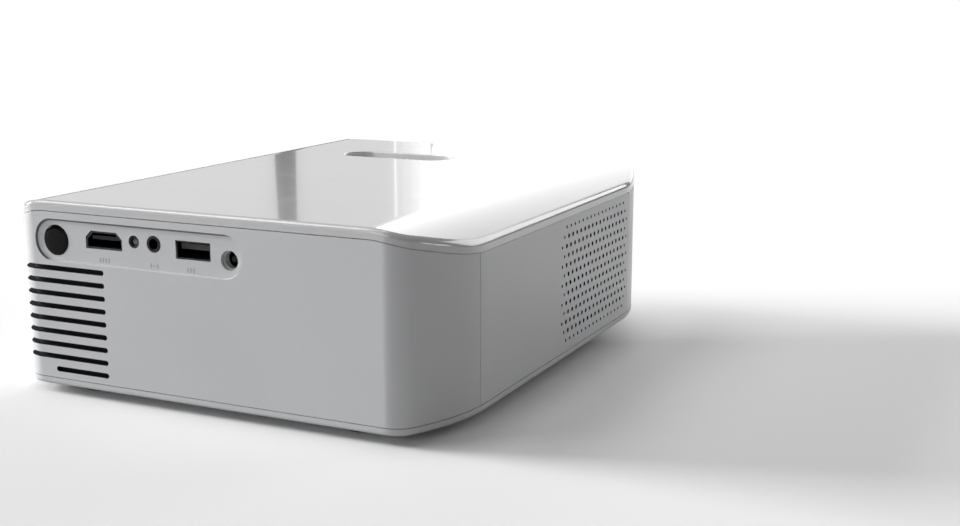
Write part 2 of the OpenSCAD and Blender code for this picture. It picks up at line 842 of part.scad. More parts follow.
module bottom_cover() {
    color(white) difference() {
        union() {
            difference() {
                base_blank();
                along_z(floor_z, rim_z + joint) outline(wall + fit_gap + lip_t);
            }
            along_z(rim_z - 0.5, drive_z - slide_gap) difference() {
                outline(wall + fit_gap);
                outline(wall + fit_gap + lip_t);
            }
            at_posts() along_z(foot_h + 0.5, post_split) circle(d = post_d);
            // Stand-offs under the disc drive
            for (x = [drive_back + 8, drive_front - 12], sy = [-1, 1]) {
                translate([x, sy * (drive_w / 2 - 8), floor_z - 0.5]) cylinder(h = drive_stand + 0.5, r = 3);
            }
            // Struts under the front edge of the main board
            for (x = strut_xs) {
                translate([x, strut_y, floor_z - 0.5]) cylinder(h = board_z - floor_z + 0.5, r = 3);
            }
            // Stand-offs under the power board
            for (x = [power_x0 + power_stand_in, power_x1 - power_stand_in],
                 y = [power_y0 + power_stand_in, power_y1 - power_stand_in]) {
                translate([x, y, floor_z - 0.5]) cylinder(h = power_z - floor_z + 0.5, r = 2.5);
            }
            // Cradle under the fan
            for (sx = [-1, 1]) {
                block([fan_x + sx * cradle_out - cradle_half, fan_y0, floor_z - 0.5],
                      [fan_x + sx * cradle_out + cradle_half, fan_y1 + 2, fan_z0]);
            }
            translate([tripod_x, 0, foot_h + 0.5]) {
                cylinder(h = drive_z - 0.3 - foot_h - 0.5, r = tripod_out + 1.6);
            }
            translate([tilt_x, tilt_y, foot_h + 0.5]) {
                cylinder(h = tilt_boss_h, r = tilt_nut_r + 1.6);
                cylinder(h = tilt_wheel_t, r = tilt_wheel_r + 3);
            }
        }
        at_feet() along_z(foot_h - joint, foot_h + foot_sink) circle(d = foot_d + 2 * fit_gap);
        at_posts() {
            along_z(foot_h - joint, foot_h + 4.8) circle(r = screw_head_r + 0.3);
            along_z(foot_h, post_split + joint) circle(d = screw_d + 0.4);
        }
        for (x = strut_xs) {
            translate([x, strut_y, board_z - 6]) cylinder(h = 6 + joint, r = board_screw_r + 0.05);
        }
        translate([tripod_x, 0, tripod_z]) cylinder(h = tripod_l + 0.3, r = tripod_out + run_fit);
        translate([tripod_x, 0, foot_h - joint]) cylinder(h = joint + 1, r = tripod_out - 0.6);
        at_tilt_foot() {
            along_z(foot_h - joint, tilt_wheel_low + tilt_wheel_t + 0.5) circle(r = tilt_wheel_r + 0.6);
            along_z(foot_h, foot_h + tilt_boss_h + joint) circle(r = tilt_nut_r + run_fit);
        }
        // Air intake under the light engine
        for (i = [0 : intake_count - 1]) {
            translate([intake_x, intake_y + i * intake_pitch, 0]) along_z(foot_h - joint, floor_z + joint) {
                round_rect(intake_l, 2, 0.99);
            }
        }
    }
}

module rubber_feet() {
    color(black) at_feet() difference() {
        union() {
            cylinder(h = foot_bevel, d1 = foot_d - 2 * foot_bevel, d2 = foot_d);
            translate([0, 0, foot_bevel]) cylinder(h = foot_h + foot_sink - foot_bevel, d = foot_d);
        }
        translate([0, 0, -joint]) cylinder(h = joint + 0.4, d = foot_d - 6);
    }
}

module cover_screws() {
    color(steel) at_posts() difference() {
        union() {
            along_z(foot_h + 2.4, foot_h + 4.8) circle(r = screw_head_r);
            along_z(foot_h + 4, post_split + 14) circle(d = screw_d);
        }
        for (turn = [0, 90]) {
            rotate([0, 0, turn]) translate([-1.5, -0.3, foot_h + 2]) cube([3, 0.6, 1.6]);
        }
    }
}

module tripod_insert() {
    color("goldenrod") translate([tripod_x, 0, tripod_z]) difference() {
        cylinder(h = tripod_l, r = tripod_out);
        translate([0, 0, -joint]) cylinder(h = tripod_l + 2 * joint, d = tripod_d);
    }
}

// Levelling foot under the lens end
module at_tilt_foot() {
    translate([tilt_x, tilt_y, 0]) children();
}

module tilt_nut() {
    low = tilt_wheel_low + tilt_wheel_t + 0.8;
    color("goldenrod") at_tilt_foot() along_z(low, foot_h + tilt_boss_h + 0.5) difference() {
        circle(r = tilt_nut_r);
        circle(r = stud_d / 2 + run_fit);
    }
}

module tilt_screw() {
    color(black) at_tilt_foot() {
        along_z(tilt_wheel_low, tilt_wheel_low + tilt_wheel_t) difference() {
            circle(r = tilt_wheel_r);
            for (i = [0 : 23]) {
                rotate([0, 0, i * 15]) translate([tilt_wheel_r + 0.2, 0]) circle(r = 0.6);
            }
        }
        difference() {
            along_z(tilt_wheel_low + 1, stud_top) circle(d = stud_d);
            thread_grooves(stud_d / 2, tilt_wheel_low + tilt_wheel_t, stud_top, stud_pitch, 0.4);
        }
        along_z(tilt_wheel_low - 1, tilt_wheel_low + 1) circle(r = 1.5);
    }
}

module tilt_pad() {
    color([0.15, 0.15, 0.15]) at_tilt_foot() difference() {
        along_z(0.2, tilt_wheel_low - 0.15) circle(r = pad_r);
        along_z(tilt_wheel_low - 1.05, tilt_wheel_low) circle(r = 1.5 + run_fit);
    }
}

// Rear sockets
module ir_window() {
    color(black) translate([ir_x, 0, foot_h + ir_z]) {
        along_y(rear_in - 2, panel_face + 0.35) circle(d = ir_d);
        along_y(rear_in - 2, rear_in - fit_gap) circle(d = ir_d + 1.6);
    }
}

module hdmi_port() {
    color(steel) translate([hdmi_x, 0, foot_h + hdmi_z]) {
        difference() {
            along_y(port_face - hdmi_depth, port_face) hdmi_outline(0);
            along_y(port_face - hdmi_depth + 1.2, port_face + joint) hdmi_outline(-0.45);
        }
        along_y(port_face - hdmi_depth + 1, port_face - 0.8) {
            translate([0, 0.75]) square([hdmi_w - 3.6, 1.3], center = true);
        }
    }
}

module status_led() {
    color("white") translate([led_x, 0, foot_h + led_z]) {
        along_y(rear_in - 5, panel_face - 0.3) circle(d = led_d);
        along_y(rear_in - 5, rear_in - fit_gap) circle(d = led_d + 1);
    }
}

module audio_jack() {
    color(black) translate([jack_x, 0, foot_h + jack_z]) difference() {
        union() {
            along_y(rear_in - fit_gap - 1, panel_face + 0.1) circle(d = jack_nose_d);
            block([-3.2, rear_in - fit_gap - jack_depth, -2.9],
                  [3.2, rear_in - fit_gap, board_z - foot_h - jack_z]);
        }
        along_y(panel_face + 0.1 - jack_depth, panel_face + joint) circle(d = jack_d);
    }
}

module usb_port() {
    color(steel) translate([usb_x, 0, foot_h + usb_z]) {
        difference() {
            along_y(port_face - usb_depth, port_face) square([usb_w, usb_h], center = true);
            along_y(port_face - usb_depth + 1, port_face + joint) {
                square([usb_w - 0.7, usb_h - 0.7], center = true);
            }
        }
        along_y(port_face - usb_depth + 0.5, port_face - 1.2) {
            translate([0, 1.1]) square([usb_w - 2, 1.9], center = true);
        }
        // Solder skirt that reaches the board
        block([-usb_w / 2, port_face - usb_depth, usb_h / 2 - 0.3],
              [usb_w / 2, port_face - 4, board_z - foot_h - usb_z]);
    }
}

module dc_jack() {
    color(black) translate([dc_x, 0, foot_h + dc_z]) difference() {
        block([-4.6, rear_in - fit_gap - 13.5, -5], [4.6, rear_in - fit_gap, board_z - foot_h - dc_z]);
        along_y(rear_in - fit_gap - 10.5, rear_in + joint) circle(d = dc_bore_d);
    }
}

module dc_pin() {
    color(steel) translate([dc_x, 0, foot_h + dc_z]) {
        along_y(rear_in - fit_gap - 10.5, rear_in - fit_gap - 1) circle(d = dc_pin_d);
    }
}

// Boards
module board_hole(x, y) {
    translate([x, y, board_z - joint]) cylinder(h = board_t + 2 * joint, r = board_screw_r + 0.3);
}

module main_board() {
    color(board_green) difference() {
        union() {
            block([board_x0, board_y0, board_z], [board_x1, board_y1, board_z + board_t]);
            for (chip = board_parts) {
                translate([board_x0 + chip[0], board_y0 + chip[1], board_z + board_t - 0.1]) {
                    cube([chip[2], chip[3], chip[4] + 0.1]);
                }
            }
            // Connector on the underside
            translate([board_x0 + plug_at[0], board_y0 + plug_at[1], board_z - plug_size[2]]) {
                cube(plug_size + [0, 0, 0.1]);
            }
        }
        for (x = shelf_xs) {
            board_hole(x, shelf_y);
        }
        for (x = strut_xs) {
            board_hole(x, strut_y);
        }
    }
}

module board_screw(x, y, z) {
    translate([x, y, z]) {
        cylinder(h = 1.4, r = 2);
        translate([0, 0, -5]) cylinder(h = 5.5, r = board_screw_r);
    }
}

module board_screws() {
    color(steel) {
        for (x = shelf_xs) {
            board_screw(x, shelf_y, board_z + board_t);
        }
        for (x = strut_xs) {
            board_screw(x, strut_y, board_z + board_t);
        }
    }
}

module power_board() {
    top = power_z + board_t;
    middle = (power_x0 + power_x1) / 2;
    cooler_y = power_y0 + 4.8 * can_r;
    color(board_green) {
        block([power_x0, power_y0, power_z], [power_x1, power_y1, top]);
        // Two capacitors, the cooler of the switch and the choke, in a row
        for (y = [power_y0 + 1.3 * can_r, power_y0 + 3.6 * can_r]) {
            translate([middle, y, top - 0.1]) cylinder(h = can_h, r = can_r);
        }
        block([middle - can_r, cooler_y, top - 0.1], [middle + can_r, cooler_y + cooler_t, top + cooler_h]);
        block([middle - can_r, power_y1 - 5 - coil_l, top - 0.1],
              [middle + can_r, power_y1 - 5, top + coil_h]);
    }
}

// Light engine
module engine_opening(y0, y1, r) {
    translate([lens_x, 0, axis_z]) along_y(y0, y1) circle(r = r);
}

module engine_slots(y, t) {
    block([lens_x - panel_w / 2 - fit_gap, y - fit_gap, engine_z0 + engine_wall + fit_gap],
          [lens_x + panel_w / 2 + fit_gap, y + t + fit_gap, case_top + joint]);
}

module engine_case() {
    color(black) difference() {
        union() {
            difference() {
                block([engine_x0, engine_y0, engine_z0], [engine_x1, engine_y1, case_top]);
                block([engine_x0 + engine_wall, engine_y0 + engine_wall, engine_z0 + engine_wall],
                      [engine_x1 - engine_wall, engine_y1 - engine_wall, case_top + joint]);
            }
            // Frames that hold the image panel, the fresnel lens and the condenser
            for (y = [panel_y - 2, fresnel_y - 2]) {
                difference() {
                    block([engine_x0 + 1, y, engine_z0 + 1],
                          [engine_x1 - 1, y + panel_t + 4, case_top - 0.2]);
                    block([lens_x - panel_w / 2 + 3, y - joint, engine_z0 + engine_wall + 3],
                          [lens_x + panel_w / 2 - 3, y + panel_t + 4 + joint, case_top + joint]);
                }
            }
            block([engine_x0 + 1, condenser_y - 2, engine_z0 + 1],
                  [engine_x1 - 1, condenser_y, case_top - 0.2]);
        }
        engine_slots(panel_y, panel_t);
        engine_slots(fresnel_y, 1.5);
        engine_opening(engine_y0 - joint, engine_y0 + engine_wall + joint, barrel_r);
        engine_opening(condenser_y - 3, condenser_y + 1, condenser_d / 2 - 1.5);
        engine_opening(engine_y1 - engine_wall - joint, engine_y1 + joint, 12);
    }
}

module engine_lid() {
    color(black) difference() {
        block([engine_x0, engine_y0, case_top], [engine_x1, engine_y1, engine_z1]);
        for (i = [0 : 5]) {
            translate([lens_x - 15 + i * 6, engine_y1 - 30, case_top - joint]) along_z(0, lid_t + 2 * joint) {
                round_rect(2, 12, 0.99);
            }
        }
    }
}

module lcd_panel() {
    color([0.2, 0.22, 0.3]) block([lens_x - panel_w / 2, panel_y, engine_z0 + engine_wall + 2 * fit_gap],
                                  [lens_x + panel_w / 2, panel_y + panel_t, case_top - fit_gap]);
}

module fresnel_lens() {
    color([0.8, 0.88, 0.92]) block([lens_x - panel_w / 2, fresnel_y, engine_z0 + engine_wall + 2 * fit_gap],
                                   [lens_x + panel_w / 2, fresnel_y + 1.5, case_top - fit_gap]);
}

// A lens turned about the lens axis: a disc with a bulge of the given height on one or both faces
module lens_body(y, r, edge, bulge, both) {
    dome_r = (r * r + bulge * bulge) / (2 * bulge);
    translate([lens_x, y, axis_z]) rotate([-90, 0, 0]) rotate_extrude() {
        square([r, edge]);
        intersection() {
            translate([0, edge + bulge - dome_r]) circle(r = dome_r);
            translate([0, edge / 2]) square([r, edge + bulge]);
        }
        if (both) {
            intersection() {
                translate([0, dome_r - bulge]) circle(r = dome_r);
                translate([0, -bulge - joint]) square([r, edge / 2 + bulge + joint]);
            }
        }
    }
}

module condenser_lens() {
    color([0.85, 0.9, 0.92]) lens_body(condenser_y + fit_gap, condenser_d / 2, 3, 6, false);
}

module led_module() {
    color("gold") {
        block([lens_x - lamp_w / 2, lamp_y, axis_z - lamp_w / 2],
              [lens_x + lamp_w / 2, sink_y, axis_z + lamp_w / 2]);
        translate([lens_x, lamp_y, axis_z]) rotate([90, 0, 0]) {
            translate([0, 0, -0.5]) cylinder(h = 2, r = 8);
            intersection() {
                sphere(r = 6);
                cylinder(h = 8, r = 7);
            }
        }
    }
}

module heatsink() {
    z0 = engine_z0 + 1.5;
    z1 = case_top - 1.5;
    color(steel) {
        block([lens_x - sink_w / 2, sink_y, z0], [lens_x + sink_w / 2, sink_y + sink_base, z1]);
        for (i = [0 : fin_count - 1]) {
            x = lens_x - sink_w / 2 + i * (sink_w - fin_t) / (fin_count - 1);
            block([x, sink_y + sink_base - 0.5, z0], [x + fin_t, sink_y + sink_base + fin_l, z1]);
        }
    }
}

module lens_holder() {
    color(black) translate([lens_x, 0, axis_z]) difference() {
        union() {
            along_y(barrel_y0 + 4, engine_y0) circle(r = tube_r);
            along_y(engine_y0 - flange_t, engine_y0) round_rect(44, 32, 3);
        }
        along_y(barrel_y0, engine_y0 + joint) circle(r = barrel_r + run_fit);
    }
}

module lens_barrel() {
    color([0.12, 0.12, 0.13]) translate([lens_x, 0, axis_z]) difference() {
        along_y(barrel_y0, barrel_y1) circle(r = barrel_r);
        along_y(barrel_y0 + 9, barrel_y1 + joint) circle(r = barrel_r - barrel_wall);
        along_y(barrel_y0 + 1.6, barrel_y0 + 10) circle(r = barrel_r - barrel_wall);
        along_y(barrel_y0 - joint, barrel_y0 + 2) circle(r = barrel_r - barrel_wall - 1);
    }
}

module front_lens() {
    color([0.75, 0.85, 0.92]) lens_body(barrel_y0 + 4.6, barrel_r - barrel_wall - run_fit, 2.5, 2.6, true);
}

module rear_lens() {
    color([0.75, 0.85, 0.92]) lens_body(barrel_y1 - 7, barrel_r - barrel_wall - run_fit, 2.5, 2, true);
}

module focus_ring() {
    color([0.2, 0.2, 0.21]) translate([lens_x, 0, axis_z]) along_y(ring_y0, ring_y1) difference() {
        circle(d = ring_d);
        circle(r = tube_r + run_fit);
        for (i = [0 : ring_flutes - 1]) {
            rotate([0, 0, i * 360 / ring_flutes]) translate([ring_d / 2 + 0.25, 0]) circle(r = 0.8, $fn = 16);
        }
    }
}

module lens_trim() {
    color(steel) translate([lens_x, 0, axis_z]) difference() {
        union() {
            along_y(lens_face + 0.1, lens_face + trim_flange_t) circle(r = trim_r + trim_flange);
            along_y(lens_face + 0.5, lens_face + wall + 3) circle(r = trim_r);
        }
        along_y(lens_face, lens_face + wall + 4) circle(r = trim_r - 1.2);
    }
}

// Fan
module fan_frame() {
    color(black) translate([fan_x, 0, fan_z]) {
        difference() {
            along_y(fan_y0, fan_y1) round_rect(fan_w, fan_w, fan_corner_r);
            along_y(fan_y0 - joint, fan_y1 + joint) circle(r = fan_bore_r);
            for (sx = [-1, 1], sz = [-1, 1]) {
                translate([sx * (fan_w / 2 - fan_corner_r), 0, sz * (fan_w / 2 - fan_corner_r)]) {
                    along_y(fan_y0 - joint, fan_y1 + joint) circle(r = 1.6);
                }
            }
        }
        // Motor plate on three struts
        difference() {
            union() {
                along_y(fan_y1 - 2, fan_y1) circle(r = fan_hub_r);
                for (turn = [0, 120, 240]) {
                    along_y(fan_y1 - 2, fan_y1) rotate([0, 0, turn + 30]) translate([0, -1]) {
                        square([fan_bore_r + 1, 2]);
                    }
                }
                along_y(fan_y0 + 5, fan_y1 - 1) circle(r = 4);
            }
            along_y(fan_y0 + 4, fan_y1 - 1) circle(r = fan_pin_r + run_fit);
        }
    }
}

module fan_rotor() {
    color([0.15, 0.15, 0.16]) translate([fan_x, 0, fan_z]) {
        difference() {
            along_y(fan_y0 + 0.5, fan_y1 - 2.6) circle(r = fan_hub_r);
            along_y(fan_y0 + 2, fan_y1) circle(r = fan_hub_r - 1.2);
        }
        along_y(fan_y0 + 1, fan_y1 - 1.4) circle(r = fan_pin_r);
        intersection() {
            for (i = [0 : fan_blades - 1]) {
                rotate([0, i * 360 / fan_blades, 0]) translate([0, (fan_y0 + fan_y1) / 2 - 1, 0]) {
                    rotate([0, 0, fan_pitch]) translate([-fan_t, -0.5, fan_hub_r - 0.6]) {
                        cube([2 * fan_t, 1, fan_bore_r]);
                    }
                }
            }
            tube_y(fan_y0 + 0.5, fan_y1 - 2.8, fan_bore_r - fan_gap, fan_hub_r - 0.5);
        }
    }
}

// Speaker behind the grille
module speaker_basket() {
    r = speaker_d / 2;
    m = magnet_d / 2;
    color([0.3, 0.3, 0.32]) translate([speaker_x, grille_y, speaker_z]) rotate([0, 90, 0]) difference() {
        rotate_extrude() {
            polygon([[r - 3.5, 0], [r, 0], [r, 1.2], [r - 2, 1.2], [r - 2, 5], [m + 0.8, speaker_h - 6.5],
                     [m, speaker_h - 6.5], [m, speaker_h], [0, speaker_h], [0, speaker_h - 8],
                     [m - 1.5, speaker_h - 8], [r - 3.5, 4.4]]);
        }
        for (sy = [-1, 1], sz = [-1, 1]) {
            translate([sz * r * 0.72, sy * r * 0.72, -joint]) cylinder(h = joint + 6, r = 2.6);
        }
    }
}

module speaker_cone() {
    r = speaker_d / 2 - 3.7;
    color([0.1, 0.1, 0.1]) translate([speaker_x, grille_y, speaker_z]) rotate([0, 90, 0]) rotate_extrude() {
        polygon([[0, 5.2], [5, 5.2], [r - 2.5, 1], [r, 1], [r, 1.6], [r - 2.2, 1.6], [5.2, 5.8], [0, 5.8]]);
    }
}

// Buttons
module button(index) {
    y = (index - (button_count - 1) / 2) * button_pitch;
    flange_x = half_w - wall - slide_gap;
    color(white) translate([0, y, button_plane]) {
        along_x(button_x0, button_x1) circle(d = button_d);
        along_x(flange_x - 0.8, flange_x) circle(d = button_d + 2);
    }
}

module power_button() {
    button(4);
}

module source_button() {
    button(3);
}

module menu_button() {
    button(2);
}

module volume_up_button() {
    button(1);
}

module volume_down_button() {
    button(0);
}

module button_board() {
    color(board_green) {
        difference() {
            translate([0, 0, button_plane]) along_x(button_board_x, button_board_x + board_t - 0.01) {
                square([2 * button_board_half, 14], center = true);
            }
            for (sy = [-1, 1]) {
                translate([button_board_x - joint, sy * (button_board_half - 4), button_plane]) {
                    rotate([0, 90, 0]) cylinder(h = board_t + 2 * joint, r = 1.3);
                }
            }
        }
        button_row() along_x(button_board_x + board_t - 0.2, switch_x) circle(r = 1.6);
    }
}

// Disc drive
module drive_base() {
    half = drive_w / 2;
    color(steel) difference() {
        block([drive_back, -half, drive_z], [drive_front, half, drive_top - sheet]);
        block([drive_back + sheet, -half + sheet, drive_z + sheet],
              [drive_front + joint, half - sheet, drive_top]);
        for (x = [drive_back + 8, drive_front - 12], sy = [-1, 1]) {
            translate([x, sy * (half - 8), drive_z - joint]) cylinder(h = sheet + 2 * joint, r = 1);
        }
    }
}

module drive_cover() {
    half = drive_w / 2;
    color(steel) difference() {
        block([drive_back, -half, drive_top - sheet], [drive_front, half, drive_top]);
        // Pressed ring that stiffens the sheet over the disc
        translate([disc_x, 0, drive_top - 0.3]) difference() {
            cylinder(h = joint, r = disc_r - 10);
            translate([0, 0, -joint]) cylinder(h = 3 * joint, r = disc_r - 14);
        }
    }
}

module rail(side) {
    mirror([0, side, 0]) color(steel) difference() {
        block([tray_back, rail_y, rail_low],
              [tray_back + tray_travel, rail_y + rail_w - slide_gap, rail_high]);
        block([tray_back - joint, rail_y - joint, rail_low + 1.2],
              [tray_back + tray_travel - 6, rail_y + 0.8, rail_high - 1.2]);
    }
}

module rail_left() {
    rail(0);
}

module rail_right() {
    rail(1);
}

// Directions along and across the pickup's travel, from the disc's centre
module traverse() {
    translate([disc_x, 0, 0]) rotate([0, 0, pickup_angle]) children();
}

module tray() {
    color(black) difference() {
        union() {
            block([tray_back, -deck_half, deck_low], [drive_front + 0.2, deck_half, deck_top]);
            for (sy = [0, 1]) {
                mirror([0, sy, 0]) {
                    block([tray_back, tray_half - skirt_t, tray_low],
                          [drive_front + 0.2, tray_half, deck_low + 0.5]);
                }
            }
            block([drive_front + 0.2 - tray_front_wall, -tray_half, tray_low],
                  [drive_front + 0.2, tray_half, deck_low + 0.5]);
        }
        translate([disc_x, 0, deck_floor]) cylinder(h = 10, r = disc_r);
        // Step for small discs
        translate([disc_x, 0, deck_floor - 0.4]) cylinder(h = joint, r = 40.5);
        translate([disc_x, 0, deck_low - joint]) cylinder(h = 4, r = hub_r + 1);
        traverse() block([0, -9, deck_low - joint], [tower_out + 1, 9, deck_floor + joint]);
        // Finger scoops beside the disc
        for (sy = [-1, 1]) {
            translate([drive_front + 0.2, sy * 44, deck_floor]) cylinder(h = 8, r = 9);
        }
    }
}

module tray_bezel() {
    back = half_w - bezel_t;
    color(white) difference() {
        intersection() {
            along_x(back, half_w) translate([0, drive_z + 0.3 + bezel_h / 2]) {
                round_rect(drive_w + 1.6, bezel_h, 0.6);
            }
            along_z(0, top_z) outline(0.02);
        }
        // Seat, shaft and mouth of the eject button
        translate([0, 40, drive_z + 6]) {
            along_x(back - joint, back + 1.8) round_rect(12, 5.2, 2);
            along_x(back, half_w + joint) round_rect(9 + 2 * slide_gap, 3.2 + 2 * slide_gap, 1.6);
        }
        // Pin hole for opening the tray by hand
        translate([0, 28, drive_z + 6]) along_x(back - joint, half_w + joint) circle(r = 0.6);
    }
}

module eject_button() {
    back = half_w - bezel_t;
    color([0.8, 0.8, 0.82]) translate([0, 40, drive_z + 6]) {
        along_x(back + 0.9, half_w - 0.2) round_rect(9, 3.2, 1.5);
        along_x(back + 0.9, back + 1.6) round_rect(11, 4.4, 1.8);
    }
}

module traverse_frame() {
    color(steel) traverse() difference() {
        union() {
            block([-14, -18, frame_low], [tower_out + tower_t, 18, frame_top]);
            for (u = [tower_in, tower_out]) {
                block([u, rod_a - 2, frame_low], [u + tower_t, rod_a + 2, deck_low]);
                block([u, rod_b - 1.6, frame_low], [u + tower_t, 18, deck_low]);
            }
        }
        block([-2, lead_v - motor_r - slide_gap, frame_low - joint],
              [tower_in, 18 + joint, frame_top + joint]);
        for (v = [rod_a, rod_b]) {
            translate([tower_in - joint, v, rod_z]) rotate([0, 90, 0]) {
                cylinder(h = tower_out - tower_in + tower_t + 2 * joint, r = rod_r);
            }
        }
        translate([tower_in - joint, lead_v, rod_z]) rotate([0, 90, 0]) {
            cylinder(h = tower_out - tower_in + tower_t + 2 * joint, r = lead_core_r + run_fit);
        }
    }
}

module guide_rods() {
    color(steel) traverse() for (v = [rod_a, rod_b]) {
        translate([tower_in, v, rod_z]) rotate([0, 90, 0]) {
            cylinder(h = tower_out - tower_in + tower_t, r = rod_r - 0.01);
        }
    }
}

module lead_screw() {
    start = tower_in + tower_t + 0.2;
    end = tower_out - 0.2;
    color("goldenrod") traverse() translate([0, lead_v, rod_z]) rotate([0, 90, 0]) {
        difference() {
            translate([0, 0, start]) cylinder(h = end - start, r = lead_r);
            thread_grooves(lead_r, start, end, lead_pitch, 0.35);
        }
        translate([0, 0, tower_in - 2]) cylinder(h = tower_out - tower_in + tower_t + 2, r = lead_core_r);
    }
}

module sled_motor() {
    color(steel) traverse() translate([0, lead_v, rod_z]) rotate([0, 90, 0]) difference() {
        translate([0, 0, -1]) cylinder(h = tower_in + 1, r = motor_r);
        translate([0, 0, tower_in - 3]) cylinder(h = 4, r = lead_core_r + run_fit);
    }
}

module spindle_motor() {
    color(steel) translate([disc_x, 0, frame_top]) difference() {
        union() {
            cylinder(h = 1, r = hub_r);
            cylinder(h = 3, r = 2.6);
        }
        translate([0, 0, 0.3]) cylinder(h = 4, r = 1 + run_fit);
    }
}

module turntable() {
    seat = drive_z + 8.6;
    cup = drive_z + 4.4;
    color([0.2, 0.2, 0.22]) translate([disc_x, 0, 0]) {
        difference() {
            along_z(cup, seat) circle(r = hub_r);
            along_z(cup - joint, cup + 2) circle(r = hub_r - 1.2);
        }
        along_z(frame_top + 0.5, cup + 3) circle(r = 1);
        along_z(seat - 0.5, seat + 1.7) difference() {
            circle(d = disc_hole_d - 0.1);
            for (turn = [0, 120, 240]) {
                rotate([0, 0, turn]) translate([disc_hole_d / 2, 0]) circle(r = 1.2);
            }
        }
    }
}

module pickup_sled() {
    low = frame_top + 0.2;
    high = rod_z + 1.6;
    color([0.35, 0.35, 0.38]) traverse() difference() {
        union() {
            block([sled_in, rod_a - 2, low], [sled_in + sled_l, lead_v + 2.2, high]);
            block([sled_in + 2.5, -7.5, low], [sled_in + sled_l, 7.5, deck_floor - 0.6]);
            translate([sled_in + 8, 0, deck_floor - 0.7]) cylinder(h = 0.5, r = 2.2);
        }
        for (v = [rod_a, rod_b]) {
            translate([sled_in - joint, v, rod_z]) rotate([0, 90, 0]) {
                cylinder(h = sled_l + 2 * joint, r = rod_r + run_fit);
            }
        }
        translate([sled_in - joint, lead_v, rod_z]) rotate([0, 90, 0]) {
            cylinder(h = sled_l + 2 * joint, r = lead_r + run_fit);
        }
    }
}

top_cover();
rear_shell();
front_shell();
grille_panel();
tray_side_panel();
bottom_cover();
rubber_feet();
cover_screws();
tripod_insert();
tilt_nut();
tilt_screw();
tilt_pad();
ir_window();
hdmi_port();
status_led();
audio_jack();
usb_port();
dc_jack();
dc_pin();
main_board();
board_screws();
power_board();
engine_case();
engine_lid();
lcd_panel();
fresnel_lens();
condenser_lens();
led_module();
heatsink();
lens_holder();
lens_barrel();
front_lens();
rear_lens();
focus_ring();
lens_trim();
fan_frame();
fan_rotor();
speaker_basket();
speaker_cone();
button_board();
power_button();
source_button();
menu_button();
volume_up_button();
volume_down_button();
drive_base();
drive_cover();
rail_left();
rail_right();
tray();
tray_bezel();
eject_button();
traverse_frame();
spindle_motor();
turntable();
guide_rods();
lead_screw();
sled_motor();
pickup_sled();
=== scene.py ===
"""Looks of a compact video projector with a built-in tray disc drive.

Sizes are written in millimetres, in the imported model's own frame, and become metres as a mesh is made.
The lens looks along -Y, the sockets face +Y, the tray opens towards +X and the grille is on -X."""
import math

import bmesh
import bpy
import numpy as np
from mathutils import Matrix, Vector


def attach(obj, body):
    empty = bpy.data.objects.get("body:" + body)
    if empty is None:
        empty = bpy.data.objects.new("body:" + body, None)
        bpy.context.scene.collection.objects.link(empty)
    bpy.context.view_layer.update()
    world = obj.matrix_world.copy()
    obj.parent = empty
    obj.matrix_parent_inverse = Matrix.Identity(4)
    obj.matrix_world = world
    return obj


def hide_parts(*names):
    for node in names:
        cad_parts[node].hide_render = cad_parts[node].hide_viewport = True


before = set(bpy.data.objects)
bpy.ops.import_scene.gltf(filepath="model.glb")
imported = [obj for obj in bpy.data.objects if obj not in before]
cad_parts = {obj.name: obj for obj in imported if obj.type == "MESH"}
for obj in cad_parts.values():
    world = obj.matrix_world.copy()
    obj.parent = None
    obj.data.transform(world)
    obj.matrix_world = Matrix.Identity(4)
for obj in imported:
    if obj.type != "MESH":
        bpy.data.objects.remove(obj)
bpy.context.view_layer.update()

MM = 0.001
TAU = 2 * math.pi
SHARP_ANGLE = math.radians(35)

# Body
HALF_W, HALF_D = 83.2, 102.0
TIGHT_R, EASY_R, CORNER_RUN = 9.4, 66.3, 37.7
CORNER_W = EASY_R - math.sqrt((EASY_R - TIGHT_R) ** 2 - (CORNER_RUN - TIGHT_R) ** 2)
CROWN_R, CROWN_RUN = 34.0, 22.0
TOP_Z, SEAM_Z, FOOT_H, BASE_EDGE, EDGE_R = 66.3, 62.9, 3.0, 1.2, 1.6
WALL, FIT_GAP, LIP_T, LIP_BOTTOM = 2.2, 0.15, 1.5, 59.5
PANEL_JOINT_Y, BASE_INSIDE_Z = 69.5, 4.95
# Centres of a corner's tight and easy arcs, and the direction in which the two join
TIGHT = np.array([HALF_W - CORNER_W, HALF_D - TIGHT_R])
EASY = np.array([HALF_W - EASY_R, HALF_D - CORNER_RUN])
JOIN = math.atan2(TIGHT[1] - EASY[1], TIGHT[0] - EASY[0])
# Finger well over the focus ring
WELL_X, WELL_Y, WELL_L, WELL_W = 12.0, -53.0, 50.0, 16.0
WELL_FLOOR, WELL_FLOOR_T, WELL_RIM_R, WELL_FOOT_R = 62.3, 1.5, 0.5, 0.8
SLOT_HALF_X, SLOT_HALF_Y = 12.9, 6.5
# Lens
LENS_X, LENS_Z = 12.0, 43.4
# Socket recess and what is in it
RECESS_X, RECESS_Z, RECESS_FLOOR = 24.35, 53.2, 101.2
RECESS_HALF_W, RECESS_HALF_H, RECESS_R = 41.05, 6.85, 6.5
MARK_Y = RECESS_FLOOR + 0.03
WINDOW_X, WINDOW_Z, VIDEO_X, VIDEO_Z, LIGHT_X, LIGHT_Z = 57.5, 53.1, 37.5, 55.15, 25.2, 55.0
AUDIO_X, DATA_X, DATA_Z, JACK_X, JACK_Z, JACK_R = 17.3, 1.95, 55.05, -11.8, 52.05, 3.4
# Where the painted light in the power jack's bore ends and its black begins
JACK_DARK_Y = 97.3
# The air slots lie behind this y and between these heights
SLOTS_Y, SLOTS_LOW, SLOTS_HIGH = 71, 7, 45.5
